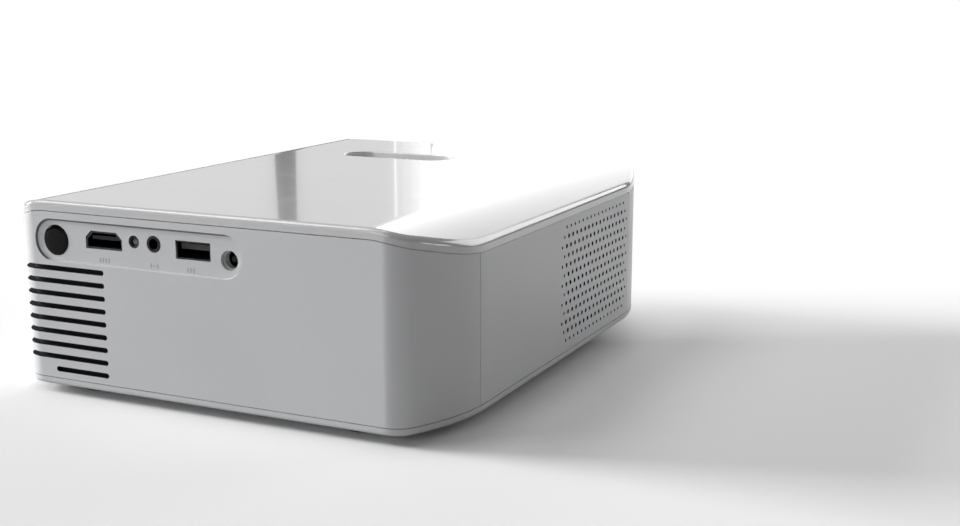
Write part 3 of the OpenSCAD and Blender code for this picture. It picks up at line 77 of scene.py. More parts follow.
# Feet, the levelling wheel and its screw thread, and the tripod insert and its thread
FOOT_X, FOOT_Y, WHEEL_Y, WHEEL_PITCH, WHEEL_NOTCHES = 52.2, 87, -85.95, 2.0, 24
INSERT_X, INSERT_PITCH, INSERT_RIDGES = -2, 1.27, 40
# Height and face of the keys, and place of the eject key on the tray's bezel
KEYS_Z, KEY_FACE, EJECT_Y, EJECT_Z, EJECT_FACE = 41, 83.115, 40, 15.2, 83.015


# Meshes
def new_object(name, mesh, body, node=None):
    """Puts a mesh into the scene as a piece that rides on a body and may stand for a node."""
    piece = bpy.data.objects.new(name, mesh)
    bpy.context.scene.collection.objects.link(piece)
    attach(piece, body)
    if node:
        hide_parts(node)
    return piece


def edited(mesh, change):
    """Runs change on an editable copy of the mesh, and puts that back into the mesh."""
    work = bmesh.new()
    work.from_mesh(mesh)
    change(work)
    work.to_mesh(mesh)
    work.free()


def values(items, key, width=3, kind=float):
    """What each item holds under a key: an array with a row for each item, or a plain one for width 1."""
    found = np.empty(len(items) * width, kind)
    items.foreach_get(key, found)
    return found.reshape(-1, width) if width > 1 else found


def grid_faces(rows, cols, close_rows=False, close_cols=True):
    """Quads of a grid: neighbours along a row and down a column, wrapped where the surface closes."""
    r, c = np.meshgrid(np.arange(rows if close_rows else rows - 1),
                       np.arange(cols if close_cols else cols - 1), indexing="ij")
    r1, c1 = (r + 1) % rows, (c + 1) % cols
    return np.stack([r * cols + c, r * cols + c1, r1 * cols + c1, r1 * cols + c], -1).reshape(-1, 4)


def bare_mesh(name, points, faces):
    """A smoothly shaded mesh from arrays in millimetres."""
    mesh = bpy.data.meshes.new(name)
    mesh.from_pydata((np.asarray(points, float).reshape(-1, 3) * MM).tolist(), [], np.asarray(faces).tolist())
    mesh.polygons.foreach_set("use_smooth", np.ones(len(mesh.polygons), bool))
    return mesh


def plain_mesh(name, points, faces, materials, smooth=40):
    """A mesh whose doubled points are merged and whose corners over `smooth` degrees stay sharp."""
    def merge(work):
        bmesh.ops.remove_doubles(work, verts=work.verts, dist=1e-7)
        bmesh.ops.recalc_face_normals(work, faces=work.faces)

    mesh = bare_mesh(name, points, faces)
    edited(mesh, merge)
    mesh.set_sharp_from_angle(angle=math.radians(smooth))
    paint(mesh, materials)
    return mesh


# For each axis: its own direction, and those in which an angle of 0 and of 90 degrees points
AXES = {"y": ((0, 1, 0), (0, 0, 1), (1, 0, 0)), "z": ((0, 0, 1), (1, 0, 0), (0, 1, 0))}


def turned_points(profile, centre, axis, segments, radius_of=None):
    """A profile of (radius, distance) carried round an axis: centre + distance * axis + radius * (cos, sin).
    radius_of(radius, distance, angle) may change the radius with the angle."""
    profile = np.asarray(profile, float)
    angle = np.arange(segments) * TAU / segments
    along, side, up = (np.array(v, float) for v in AXES[axis])
    radius = np.repeat(profile[:, :1], segments, 1)
    distance = np.repeat(profile[:, 1:], segments, 1)
    if radius_of:
        radius = radius_of(radius, distance, angle[None, :])
    return (np.array(centre, float) + distance[..., None] * along
            + radius[..., None] * (np.cos(angle)[None, :, None] * side + np.sin(angle)[None, :, None] * up))


def turned(name, profile, centre, axis, segments, materials, body, node, radius_of=None, smooth=40):
    """A turned piece: its profile carried round the axis and closed into a ring, or on the axis."""
    points = turned_points(profile, centre, axis, segments, radius_of)
    faces = grid_faces(len(profile), segments, close_rows=True)
    return new_object(name, plain_mesh(name, points, faces, materials, smooth), body, node)


def arc(cx, cy, r, a0, a1, count):
    """Points (cx + r cos a, cy + r sin a) from angle a0 to a1 in degrees."""
    a = np.radians(np.linspace(a0, a1, count))
    return np.stack([cx + r * np.cos(a), cy + r * np.sin(a)], -1)


def merged_copy(name, node):
    """A CAD node's mesh with its doubled points merged and its stored normals dropped."""
    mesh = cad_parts[node].data.copy()
    mesh.name = name
    mesh.materials.clear()
    if "custom_normal" in mesh.attributes:
        mesh.attributes.remove(mesh.attributes["custom_normal"])
    edited(mesh, lambda work: bmesh.ops.remove_doubles(work, verts=work.verts, dist=2e-6))
    mesh.polygons.foreach_set("use_smooth", np.ones(len(mesh.polygons), bool))
    return mesh


def paint(mesh, materials, rule=None):
    """Gives a mesh its materials. rule(centres in millimetres, normals) numbers the material of each face."""
    for material in materials:
        mesh.materials.append(material)
    if rule:
        number = rule(values(mesh.polygons, "center") / MM, values(mesh.polygons, "normal"))
        mesh.polygons.foreach_set("material_index", np.asarray(number).astype(int))


# The body's outline and crown
def outline_curve(inset, steps=700):
    """The body's outline drawn in by inset: a side line, an easy arc, a tight arc and an end line in one
    quarter, mirrored into the other three. Gives points and outward directions, counter-clockwise."""
    join = math.degrees(JOIN)
    a = np.radians(np.concatenate([np.zeros(steps), np.linspace(0, join, steps), np.linspace(join, 90, steps),
                                   np.full(steps, 90.0)]))
    direction = np.stack([np.cos(a), np.sin(a)], -1)
    side = np.stack([np.full(steps, HALF_W - inset), np.linspace(0, EASY[1], steps)], -1)
    end = np.stack([np.linspace(TIGHT[0], 0, steps), np.full(steps, HALF_D - inset)], -1)
    points = np.concatenate([side, EASY + (EASY_R - inset) * direction[steps:2 * steps],
                             TIGHT + (TIGHT_R - inset) * direction[2 * steps:3 * steps], end])
    turn = np.array([[-1, 1]])
    quarter = [(points, direction), (points[::-1] * turn, direction[::-1] * turn), (-points, -direction),
               (points[::-1] * -turn, direction[::-1] * -turn)]
    return np.concatenate([q[0] for q in quarter]), np.concatenate([q[1] for q in quarter])


def beside_corner(xy):
    """For points near the walls: their distances from the middle lines, their places from the centres of the
    tight and the easy arc, and whether each lies beside the tight arc, and beside the easy one."""
    away = np.abs(xy)
    from_tight, from_easy = away - TIGHT, away - EASY
    in_tight = (away[:, 0] > TIGHT[0]) & (np.arctan2(from_easy[:, 1], from_easy[:, 0]) > JOIN)
    in_easy = (away[:, 1] > EASY[1]) & (away[:, 0] > TIGHT[0]) & ~in_tight
    return away, from_tight, from_easy, in_tight, in_easy


def outline_direction(xy):
    """The outline's outward direction beside any point near it: straight out from an end or a side, and away
    from the centre of the tight or the easy arc in a corner."""
    away, from_tight, from_easy, in_tight, in_easy = beside_corner(xy)
    d = np.where(away[:, :1] > TIGHT[0], [[1.0, 0.0]], [[0.0, 1.0]])
    d = np.where(in_easy[:, None], from_easy, d)
    d = np.where(in_tight[:, None], from_tight, d)
    d /= np.maximum(np.linalg.norm(d, axis=1, keepdims=True), 1e-9)
    return d * np.where(xy < 0, -1.0, 1.0)


def outline_depth(xy):
    """How far a point near the walls lies inside the body's outline."""
    away, from_tight, from_easy, in_tight, in_easy = beside_corner(xy)
    depth = np.where(away[:, 0] > TIGHT[0], HALF_W - away[:, 0], HALF_D - away[:, 1])
    depth = np.where(in_easy, EASY_R - np.linalg.norm(from_easy, axis=1), depth)
    return np.where(in_tight, TIGHT_R - np.linalg.norm(from_tight, axis=1), depth)


def crown(x, level, inset=0.0):
    """Height of the crowned top at x: level in the middle, and a circle of CROWN_R down each shoulder.
    An inset draws the whole curve in."""
    out = np.maximum(np.abs(x) - (HALF_W - CROWN_RUN), 0)
    return level - CROWN_R + np.sqrt((CROWN_R - inset) ** 2 - out ** 2)


def crown_slope(x):
    """Slope of the crown at x, dz/dx, from the circle of its shoulders."""
    out = np.maximum(np.abs(x) - (HALF_W - CROWN_RUN), 0)
    return -np.sign(x) * out / np.sqrt(CROWN_R ** 2 - out ** 2)


def ring_towards(points, directions, extra=None):
    """A closed curve's points, and what goes with them, in given directions from the finger well's centre."""
    angle = np.arctan2(points[:, 1] - WELL_Y, points[:, 0] - WELL_X)
    order = np.argsort(angle)
    columns = [np.interp(directions, angle[order], column[order], period=TAU)
               for column in (points if extra is None else np.hstack([points, extra])).T]
    return np.stack(columns, -1)


def rounded_rectangle(half_x, half_y, r, steps=60):
    """A rectangle with rounded corners round the finger well's centre: four arcs joined by lines."""
    line = np.linspace(0, 1, steps)[:, None]
    corners = [arc(WELL_X + sx * (half_x - r), WELL_Y + sy * (half_y - r), r, a, a + 90, steps)
               for sx, sy, a in ((1, 1, 0), (-1, 1, 90), (-1, -1, 180), (1, -1, 270))]
    pieces = []
    for i, corner in enumerate(corners):
        following = corners[(i + 1) % 4]
        pieces += [corner, corner[-1] + (following[0] - corner[-1]) * line]
    return np.concatenate(pieces)


def joined_sections(name, sections):
    """A closed surface of ring sections. Neighbouring sections share a ring, and meet in a sharp edge there,
    because each section brings its own directions for its corners of faces."""
    rings, faces, directions, count = [], [], [], 0
    cols = sections[0][0].shape[1]
    total = sum(len(points) - 1 for points, _ in sections)
    for points, normals in sections:
        rings.append(points[:-1])
        quads = grid_faces(len(points), cols)
        faces.append((quads + count * cols) % (total * cols))
        directions.append(normals.reshape(-1, 3)[quads.reshape(-1)])
        count += len(points) - 1
    mesh = bare_mesh(name, np.concatenate(rings), np.concatenate(faces))
    mesh.normals_split_custom_set(np.concatenate(directions).tolist())
    return mesh


def cover_mesh(name):
    """The top cover as one closed skin of rings round the finger well. From the joint line it goes up the
    skirt, round the edge, in over the crown to the well's rim, down the well, through the ring's slot, back
    under the well and the crown, and down and round the lip to the joint line again."""
    well = lambda grow: rounded_rectangle(WELL_L / 2 + grow, WELL_W / 2 + grow, WELL_W / 2 + grow - 0.01)
    base = np.concatenate([outline_curve(0, 34)[0], well(0)[::3]])
    directions = np.unique(np.round(np.arctan2(base[:, 1] - WELL_Y, base[:, 0] - WELL_X), 4))
    cols = len(directions)

    def edge(inset):
        points, direction = outline_curve(inset)
        ring = ring_towards(points, directions, direction)
        ring[:, 2:] /= np.linalg.norm(ring[:, 2:], axis=1, keepdims=True)
        return ring[:, :2], ring[:, 2:]

    def level_ring(xy, z):
        return np.column_stack([xy, np.broadcast_to(z, cols)])

    def crown_ring(xy, level, inset=0.0):
        return level_ring(xy, crown(xy[:, 0], level, inset))

    def over(xy):
        return np.column_stack([-crown_slope(xy[:, 0]), np.zeros(cols), np.ones(cols)])

    def unit(v):
        return v / np.linalg.norm(v, axis=-1, keepdims=True)

    up, down = np.array([0, 0, 1.0]), np.array([0, 0, -1.0])
    flat = lambda d: np.column_stack([d, np.zeros(cols)])
    # Skirt, rounded edge and crown
    xy, out = edge(0)
    rings, normals = [crown_ring(xy, SEAM_Z)], [flat(out)]
    for a in np.radians(np.linspace(0, 90, 9)):
        xy, out = edge(EDGE_R * (1 - math.cos(a)))
        rings.append(crown_ring(xy, TOP_Z - EDGE_R * (1 - math.sin(a))))
        normals.append(unit(math.sin(a) * over(xy) + math.cos(a) * flat(out)))
    outer_xy = xy
    rim_xy = ring_towards(well(WELL_RIM_R), directions)
    for t in np.linspace(0, 1, 56)[1:]:
        xy = outer_xy + (rim_xy - outer_xy) * (1 - (1 - t) ** 1.35)
        rings.append(crown_ring(xy, TOP_Z))
        normals.append(unit(over(xy)))
    # Rim, wall and floor of the well
    straight = (WELL_L - WELL_W) / 2
    middle = np.stack([np.clip(rim_xy[:, 0], WELL_X - straight, WELL_X + straight),
                       np.full(cols, WELL_Y)], -1)
    inward = flat(unit(middle - rim_xy))
    for a in np.radians(np.linspace(0, 90, 6)[1:]):
        xy = ring_towards(well(WELL_RIM_R * (1 - math.sin(a))), directions)
        rings.append(level_ring(xy, TOP_Z - WELL_RIM_R * (1 - math.cos(a))))
        normals.append(unit(math.cos(a) * up + math.sin(a) * inward))
    for a in np.radians(np.linspace(0, 90, 7)):
        xy = ring_towards(well(-WELL_FOOT_R * (1 - math.cos(a))), directions)
        rings.append(level_ring(xy, WELL_FLOOR + WELL_FOOT_R * (1 - math.sin(a))))
        normals.append(unit(math.sin(a) * up + math.cos(a) * inward))
    slot_xy = ring_towards(rounded_rectangle(SLOT_HALF_X, SLOT_HALF_Y, 0.6), directions)
    for t in (0.5, 1):
        rings.append(level_ring(xy + (slot_xy - xy) * t, WELL_FLOOR))
        normals.append(np.broadcast_to(up, (cols, 3)))
    sections = [(np.array(rings), np.array(normals))]

    def section(first, last, normal):
        sections.append((np.array([first, last]), np.array([np.broadcast_to(normal, (cols, 3))] * 2)))

    # Slot, then the underside of the well and of the crown
    from_middle = slot_xy - [WELL_X, WELL_Y]
    square = np.abs(from_middle / [SLOT_HALF_X, SLOT_HALF_Y])
    across = np.where(square[:, :1] > square[:, 1:], [[1.0, 0.0]], [[0.0, 1.0]])
    slot_in = flat(across * -np.sign(from_middle))
    under = WELL_FLOOR - WELL_FLOOR_T
    grown = ring_towards(well(WELL_FLOOR_T), directions)
    section(level_ring(slot_xy, WELL_FLOOR), level_ring(slot_xy, under), slot_in)
    section(level_ring(slot_xy, under), level_ring(grown, under), down)
    section(level_ring(grown, under), level_ring(grown, TOP_Z - WALL), -inward)
    (in_xy, in_way), (out_xy, out_way) = edge(WALL + FIT_GAP + LIP_T), edge(WALL + FIT_GAP)
    spread = [grown + (in_xy - grown) * t for t in np.linspace(0, 1, 22)]
    sections.append((np.array([crown_ring(xy, TOP_Z, WALL) for xy in spread]),
                     np.array([-unit(over(xy)) for xy in spread])))
    # Lip and joint line
    section(crown_ring(in_xy, TOP_Z, WALL), crown_ring(in_xy, LIP_BOTTOM), -flat(in_way))
    section(crown_ring(in_xy, LIP_BOTTOM), crown_ring(out_xy, LIP_BOTTOM), down)
    section(crown_ring(out_xy, LIP_BOTTOM), crown_ring(out_xy, SEAM_Z), flat(out_way))
    section(crown_ring(out_xy, SEAM_Z), crown_ring(edge(0)[0], SEAM_Z), down)
    return joined_sections(name, sections)


# Copies of CAD nodes with true normals, or with soft edges
def smooth_skin(name, node, reshape=None):
    """A merged copy of a CAD node, first reshaped where a function for that is given. Where a face lies along
    the body's outline, or on the rounded lower edge, its corners take the true direction of that surface, and
    elsewhere corners under SHARP_ANGLE are smooth."""
    mesh = merged_copy(name, node)
    if reshape:
        reshape(mesh)
    mesh.set_sharp_from_angle(angle=SHARP_ANGLE)
    corner = values(mesh.corner_normals, "vector")
    place = values(mesh.vertices, "co")[values(mesh.loops, "vertex_index", 1, int)] / MM
    face = np.repeat(values(mesh.polygon_normals, "vector"), values(mesh.polygons, "loop_total", 1, int), 0)
    out = np.column_stack([outline_direction(place[:, :2]), np.zeros(len(place))])
    # Lower edge: the direction turns from straight out to straight down over its quarter circle
    edge_top = FOOT_H + BASE_EDGE
    drop = np.clip((edge_top - place[:, 2]) / BASE_EDGE, 0, 1)
    rounded = out * np.sqrt(1 - drop ** 2)[:, None] - drop[:, None] * np.array([[0, 0, 1.0]])
    true = np.where((place[:, 2] < edge_top)[:, None], rounded, out)
    along = (face * true).sum(1)
    slanted = (place[:, 2] < edge_top) & (np.abs(face[:, 2]) < 0.97) & (along > 0.5)
    on_wall = (np.abs(along) > math.cos(math.radians(6))) & (np.abs(face[:, 2]) < 0.2)
    chosen = np.where((on_wall | slanted)[:, None], true * np.sign(along)[:, None], corner)
    mesh.normals_split_custom_set(chosen.tolist())
    return mesh


def softened(name, node, materials, body, width, segments=2, rule=None):
    """A merged copy of a CAD node with its flat faces joined and its sharp edges given a small radius."""
    mesh = merged_copy(name, node)
    edited(mesh, lambda work: bmesh.ops.dissolve_limit(work, angle_limit=math.radians(0.6), verts=work.verts,
                                                       edges=work.edges))
    paint(mesh, materials, rule)
    piece = new_object(name, mesh, body, node)
    bevel = piece.modifiers.new("soft edges", "BEVEL")
    bevel.width, bevel.segments = width * MM, segments
    bevel.limit_method, bevel.angle_limit = "ANGLE", SHARP_ANGLE
    bevel.harden_normals = True
    bevel.use_clamp_overlap = True


# Printed marks
def flat_marks(name, shapes, origin, across, body, material):
    """Thin printed marks: polygons in an upright plane through origin, along the direction across."""
    mesh = bpy.data.meshes.new(name)
    origin, across, up = np.array(origin, float), np.array(across, float), np.array([0, 0, 1.0])
    points, faces = [], []
    for shape in shapes:
        shape = np.asarray(shape, float)
        faces.append(list(range(len(points), len(points) + len(shape))))
        points += (origin + shape[:, :1] * across + shape[:, 1:] * up).tolist()
    mesh.from_pydata((np.array(points) * MM).tolist(), [], faces)
    mesh.materials.append(material)
    new_object(name, mesh, body)


def bar(x, y, w, h):
    """A rectangle round (x, y)."""
    return [(x - w / 2, y - h / 2), (x + w / 2, y - h / 2), (x + w / 2, y + h / 2), (x - w / 2, y + h / 2)]


def ring_part(r, width, a0, a1, count=24):
    """A part of a ring from angle a0 to a1, as one polygon."""
    return np.concatenate([arc(0, 0, r + width / 2, a0, a1, count), arc(0, 0, r - width / 2, a1, a0, count)])


# Shader nodes
def feed(tree, socket, value):
    """Links a socket to another one, or sets it to a number, a vector or a colour of three parts."""
    if isinstance(value, bpy.types.NodeSocket):
        tree.links.new(value, socket)
    else:
        socket.default_value = (*value, 1) if socket.type == "RGBA" else value


def add_node(tree, kind, inputs, **settings):
    """A shader node with its settings made and its inputs fed."""
    node = tree.nodes.new("ShaderNode" + kind)
    for key, value in settings.items():
        setattr(node, key, value)
    for label, value in inputs.items():
        feed(tree, node.inputs[label], value)
    return node


def math_node(tree, operation, a, b, clamp=False):
    return add_node(tree, "Math", {0: a, 1: b}, operation=operation, use_clamp=clamp).outputs[0]


def plus(tree, a, b, clamp=False):
    return math_node(tree, "ADD", a, b, clamp)


def times(tree, a, b, clamp=False):
    return math_node(tree, "MULTIPLY", a, b, clamp)


def noise(tree, vector, scale, detail=2.0, roughness=0.5):
    return add_node(tree, "TexNoise", {"Vector": vector, "Scale": scale, "Detail": detail,
                                       "Roughness": roughness}).outputs["Fac"]


def ramp(tree, value, low, high, to_low=0.0, to_high=1.0):
    return add_node(tree, "MapRange", {"Value": value, "From Min": low, "From Max": high, "To Min": to_low,
                                       "To Max": to_high}).outputs["Result"]


def mix_colour(tree, factor, a, b, blend="MIX"):
    return add_node(tree, "Mix", {0: factor, 6: a, 7: b}, data_type="RGBA", blend_type=blend).outputs[2]


def shaded(tree, colour, factor):
    """A colour times a factor."""
    return mix_colour(tree, 1.0, colour, factor, "MULTIPLY")


# Effects shared by the materials
SOCKET_KINDS = {"Vector": "NodeSocketVector", "Stretch": "NodeSocketVector", "Colour": "NodeSocketColor"}


def node_group(name, inputs, outputs):
    """An empty shader group with named inputs and outputs, which are numbers where SOCKET_KINDS says nothing
    else. Gives the group, and the sockets where its inputs come in and its outputs go out."""
    group = bpy.data.node_groups.new(name, "ShaderNodeTree")
    for way, labels in (("INPUT", inputs), ("OUTPUT", outputs)):
        for label in labels:
            group.interface.new_socket(name=label, in_out=way,
                                       socket_type=SOCKET_KINDS.get(label, "NodeSocketFloat"))
    return group, group.nodes.new("NodeGroupInput").outputs, group.nodes.new("NodeGroupOutput").inputs


def make_moulded_surface():
    """Moulded plastic: fine spark-eroded grain, slow waviness from cooling, faint uneven gloss and colour."""
    given_labels = ["Vector", "Colour", "Grain Scale", "Grain", "Roughness", "Handling"]
    group, given, out = node_group("moulded surface", given_labels, ["Colour", "Roughness", "Height"])
    grain = noise(group, given["Vector"], given["Grain Scale"], 3, 0.65)
    wave = noise(group, given["Vector"], 26.0, 1, 0.4)
    smear = ramp(group, noise(group, given["Vector"], 44.0, 5, 0.6), 0.52, 0.72)
    feed(group, out["Height"], plus(group, times(group, grain, given["Grain"]), times(group, wave, 0.35)))
    rough = plus(group, given["Roughness"], times(group, smear, given["Handling"]))
    speckle = times(group, ramp(group, grain, 0.3, 0.7, -0.5, 0.5), 0.06)
    feed(group, out["Roughness"], plus(group, rough, speckle))
    colour = shaded(group, given["Colour"], ramp(group, wave, 0.3, 0.7, 0.97, 1.0))
    feed(group, out["Colour"], shaded(group, colour, ramp(group, grain, 0.25, 0.6, 0.975, 1.0)))
    return group


def make_worked_metal():
    """Drawn, rolled or turned metal: noise stretched along one axis, with slow stains and small pits."""
    group, given, out = node_group("worked metal", ["Vector", "Colour", "Stretch", "Roughness", "Streak"],
                                   ["Colour", "Roughness", "Height"])
    scaled = add_node(group, "VectorMath", {0: given["Vector"], 1: given["Stretch"]}, operation="MULTIPLY")
    streaks = noise(group, scaled.outputs[0], 1.0, 2, 0.6)
    stains = noise(group, given["Vector"], 90.0, 4, 0.55)
    pits = noise(group, given["Vector"], 2600.0, 1, 0.5)
    streaked = times(group, ramp(group, streaks, 0.3, 0.7, -0.5, 0.5), given["Streak"])
    rough = plus(group, given["Roughness"], streaked)
    feed(group, out["Roughness"], plus(group, rough, ramp(group, stains, 0.45, 0.75, 0.0, 0.1)))
    colour = shaded(group, given["Colour"], ramp(group, streaks, 0.25, 0.75, 0.9, 1.0))
    feed(group, out["Colour"], shaded(group, colour, ramp(group, stains, 0.35, 0.7, 1.0, 0.9)))
    feed(group, out["Height"], plus(group, streaks, times(group, ramp(group, pits, 0.3, 0.42), 0.4)))
    return group


def make_settled_dust():
    """Dust: fine specks and a soft film, thicker where a surface faces up."""
    group, given, out = node_group("settled dust", ["Vector", "Amount"], ["Mask"])
    normal = group.nodes.new("ShaderNodeNewGeometry").outputs["Normal"]
    height = add_node(group, "SeparateXYZ", {0: normal}).outputs["Z"]
    film = noise(group, given["Vector"], 160.0, 5, 0.6)
    specks = noise(group, given["Vector"], 1900.0, 2, 0.5)
    mask = plus(group, ramp(group, film, 0.4, 0.8, 0.0, 0.7), ramp(group, specks, 0.66, 0.72))
    mask = times(group, mask, ramp(group, height, -0.2, 1.0, 0.25, 1.0))
    feed(group, out["Mask"], times(group, mask, given["Amount"], clamp=True))
    return group


MOULDED, WORKED, DUST = make_moulded_surface(), make_worked_metal(), make_settled_dust()


# Kinds of material
def new_material(name):
    """A material with its Principled shader, and Object coordinates for its patterns."""
    material = bpy.data.materials.new(name)
    material.use_nodes = True
    tree = material.node_tree
    vector = tree.nodes.new("ShaderNodeTexCoord").outputs["Object"]
    return material, tree, tree.nodes["Principled BSDF"], vector


def effect(tree, group, vector, **inputs):
    """The outputs of one of the shared effects, placed in a material with its own values."""
    given = {label.replace("_", " ").title(): value for label, value in inputs.items()}
    return add_node(tree, "Group", {"Vector": vector, **given}, node_tree=group).outputs


def add_bump(tree, shader, height, strength, distance):
    bump = add_node(tree, "Bump", {"Strength": strength, "Distance": distance, "Height": height})
    feed(tree, shader.inputs["Normal"], bump.outputs["Normal"])


def moulding(name, colour, roughness, grain=0.8, grain_scale=1800.0, depth=0.012, coat=0.0, handling=0.05,
             dust=0.0, ior=1.5):
    """Moulded plastic or rubber."""
    material, tree, shader, vector = new_material(name)
    surface = effect(tree, MOULDED, vector, colour=colour, grain=grain, grain_scale=grain_scale,
                     roughness=roughness, handling=handling)
    colour, rough = surface["Colour"], surface["Roughness"]
    if dust:
        mask = effect(tree, DUST, vector, amount=dust)["Mask"]
        colour = mix_colour(tree, mask, colour, (0.55, 0.54, 0.52))
        rough = plus(tree, rough, times(tree, mask, 0.5), clamp=True)
    feed(tree, shader.inputs["Base Color"], colour)
    feed(tree, shader.inputs["Roughness"], rough)
    add_bump(tree, shader, surface["Height"], 0.5, depth * MM)
    shader.inputs["IOR"].default_value = ior
    if coat:
        shader.inputs["Coat Weight"].default_value = coat
        shader.inputs["Coat Roughness"].default_value = 0.04
    return material


def metal(name, colour, roughness, stretch, streak=0.12, dust=0.0):
    """Drawn, rolled, plated or turned metal."""
    material, tree, shader, vector = new_material(name)
    surface = effect(tree, WORKED, vector, colour=colour, stretch=stretch, roughness=roughness, streak=streak)
    colour = surface["Colour"]
    if dust:
        colour = mix_colour(tree, effect(tree, DUST, vector, amount=dust)["Mask"], colour, (0.5, 0.5, 0.48))
    feed(tree, shader.inputs["Base Color"], colour)
    feed(tree, shader.inputs["Roughness"], surface["Roughness"])
    shader.inputs["Metallic"].default_value = 1.0
    add_bump(tree, shader, surface["Height"], 0.4, 0.01 * MM)
    return material


def board_finish(name):
    """Circuit board: solder mask over copper tracks laid square to each other, tinned pads, and a faintly
    uneven gloss.
    """
    material, tree, shader, vector = new_material(name)
    brick = add_node(tree, "TexBrick", {"Vector": vector, "Scale": 130.0, "Mortar Size": 0.035,
                                        "Brick Width": 0.9, "Row Height": 0.31})
    dots = add_node(tree, "TexVoronoi", {"Vector": vector, "Scale": 210.0})
    tracks = math_node(tree, "GREATER_THAN", brick.outputs["Fac"], 0.5)
    pads = math_node(tree, "LESS_THAN", dots.outputs["Distance"], 0.14)
    mask = mix_colour(tree, tracks, (0.012, 0.085, 0.04), (0.02, 0.15, 0.07))
    feed(tree, shader.inputs["Base Color"], mix_colour(tree, pads, mask, (0.62, 0.62, 0.58)))
    feed(tree, shader.inputs["Metallic"], pads)
    feed(tree, shader.inputs["Roughness"], plus(tree, 0.3, times(tree, noise(tree, vector, 900.0), 0.15)))
    add_bump(tree, shader, plus(tree, tracks, pads), 0.5, 0.03 * MM)
    return material


def lens_glass(name, colour, tint):
    """Optical glass with faint dust; a tint that grows to the rim stands for its thin coating."""
    material, tree, shader, vector = new_material(name)
    film = noise(tree, vector, 220.0, 4, 0.6)
    facing = add_node(tree, "LayerWeight", {"Blend": 0.35}).outputs["Facing"]
    feed(tree, shader.inputs["Roughness"], ramp(tree, film, 0.35, 0.8, 0.02, 0.08))
    feed(tree, shader.inputs["Base Color"], mix_colour(tree, facing, colour, tint))
    shader.inputs["Transmission Weight"].default_value = 1.0
    shader.inputs["IOR"].default_value = 1.52
    return material


# Finishes of this projector
GLOSS_WHITE = moulding("polished white cover", (0.70, 0.70, 0.705), 0.13, grain=0.12, depth=0.006, coat=0.6)
SATIN_WHITE = moulding("satin white shell", (0.74, 0.745, 0.76), 0.36, handling=0.06)
# Black painted shade: the insides of the shells and the cover, the walls of slots and holes, the sheet behind
# the slots
SHADE_BLACK = moulding("black painted shade inside the shells", (0.008, 0.008, 0.009), 0.7, grain=1.2, depth=0.02,
                       ior=1.36)
# Painted shade: a dark shadow line along the socket recess's upper wall and on its upper bevel
SHADED_WHITE = moulding("satin white in a shadow line", (0.24, 0.242, 0.25), 0.5)
# Painted shade: the recess's lower lip faces up, and is a little darker to tone down the light it catches
DIMMED_LIP_WHITE = moulding("satin white painted darker on the recess's lit lower lip", (0.62, 0.625, 0.638), 0.45)
BASE_WHITE = moulding("satin white base", (0.72, 0.725, 0.74), 0.42, grain=1.0, depth=0.016, handling=0.04)
BUTTON_WHITE = moulding("satin white keys", (0.78, 0.785, 0.8), 0.3, grain=0.5, depth=0.01)
RUBBER = moulding("moulded black rubber", (0.03, 0.03, 0.031), 0.72, grain=1.4, grain_scale=1400.0,
                  depth=0.05, dust=0.5)
BLACK = moulding("fine black plastic", (0.022, 0.022, 0.024), 0.46, grain=1.0, depth=0.02, dust=0.15)
INNER_BLACK = moulding("ribbed black housing", (0.028, 0.028, 0.03), 0.55, grain=1.2, grain_scale=1200.0,
                       depth=0.04, dust=0.25)
WINDOW_BLACK = moulding("polished window black", (0.004, 0.004, 0.005), 0.12, grain=0.05, depth=0.003,
                        handling=0.09, ior=1.2)
SOCKET_BLACK = moulding("socket black", (0.008, 0.008, 0.009), 0.4, depth=0.01, ior=1.36)
# Painted light: the pale mouth of the power jack's bore, where light falls in
JACK_MOUTH_LIGHT = moulding("pale painted light in the jack's mouth", (0.74, 0.75, 0.74), 0.4, depth=0.01)
LED_DOME = moulding("milky light guide", (0.18, 0.185, 0.185), 0.25, grain=0.3, depth=0.004)
MARK_GREY = moulding("printed grey marks", (0.46, 0.465, 0.48), 0.5, depth=0.004)
KEY_MARK = moulding("printed dark marks", (0.16, 0.165, 0.175), 0.5, depth=0.004)
RING_GREY = moulding("focus ring grey", (0.62, 0.625, 0.64), 0.4, grain=0.9, depth=0.02)
TRAY_BLACK = moulding("tray black", (0.03, 0.03, 0.033), 0.38, grain=1.0, grain_scale=2200.0, depth=0.015,
                      dust=0.12)
CONE = moulding("pressed paper cone", (0.03, 0.03, 0.032), 0.8, grain=2.4, grain_scale=700.0, depth=0.12,
                dust=0.4)
PANEL_GLASS = moulding("image panel glass", (0.02, 0.022, 0.03), 0.06, grain=0.05, depth=0.002, coat=0.6,
                       handling=0.02)
SHEET_STEEL = metal("rolled zinc-coated sheet", (0.62, 0.63, 0.65), 0.34, (40.0, 1500.0, 1500.0), dust=0.1)
BRIGHT_STEEL = metal("ground steel", (0.72, 0.72, 0.73), 0.18, (1600.0, 1600.0, 80.0), 0.08)
SCREW_STEEL = metal("plated screw steel", (0.55, 0.56, 0.58), 0.26, (900.0, 900.0, 900.0))
# Painted shade: socket shells in near-black nickel for the shade inside them
SHADED_NICKEL = metal("nickel painted dark with the shade inside a socket", (0.07, 0.07, 0.068), 0.4, (800.0, 70.0, 800.0), 0.1)
BRASS = metal("turned brass", (0.70, 0.50, 0.21), 0.25, (900.0, 900.0, 3500.0))
FIN_ALUMINIUM = metal("extruded aluminium", (0.74, 0.75, 0.77), 0.32, (2000.0, 60.0, 2000.0))
TRIM_SILVER = metal("satin silver trim", (0.60, 0.61, 0.63), 0.3, (1500.0, 200.0, 1500.0), 0.16)
LAMP_GOLD = metal("metal-core board", (0.72, 0.56, 0.3), 0.35, (600.0, 600.0, 600.0))
BOARD = board_finish("solder-masked board")
LENS_GLASS = lens_glass("coated lens glass", (0.93, 0.96, 0.98), (0.55, 0.6, 0.85))

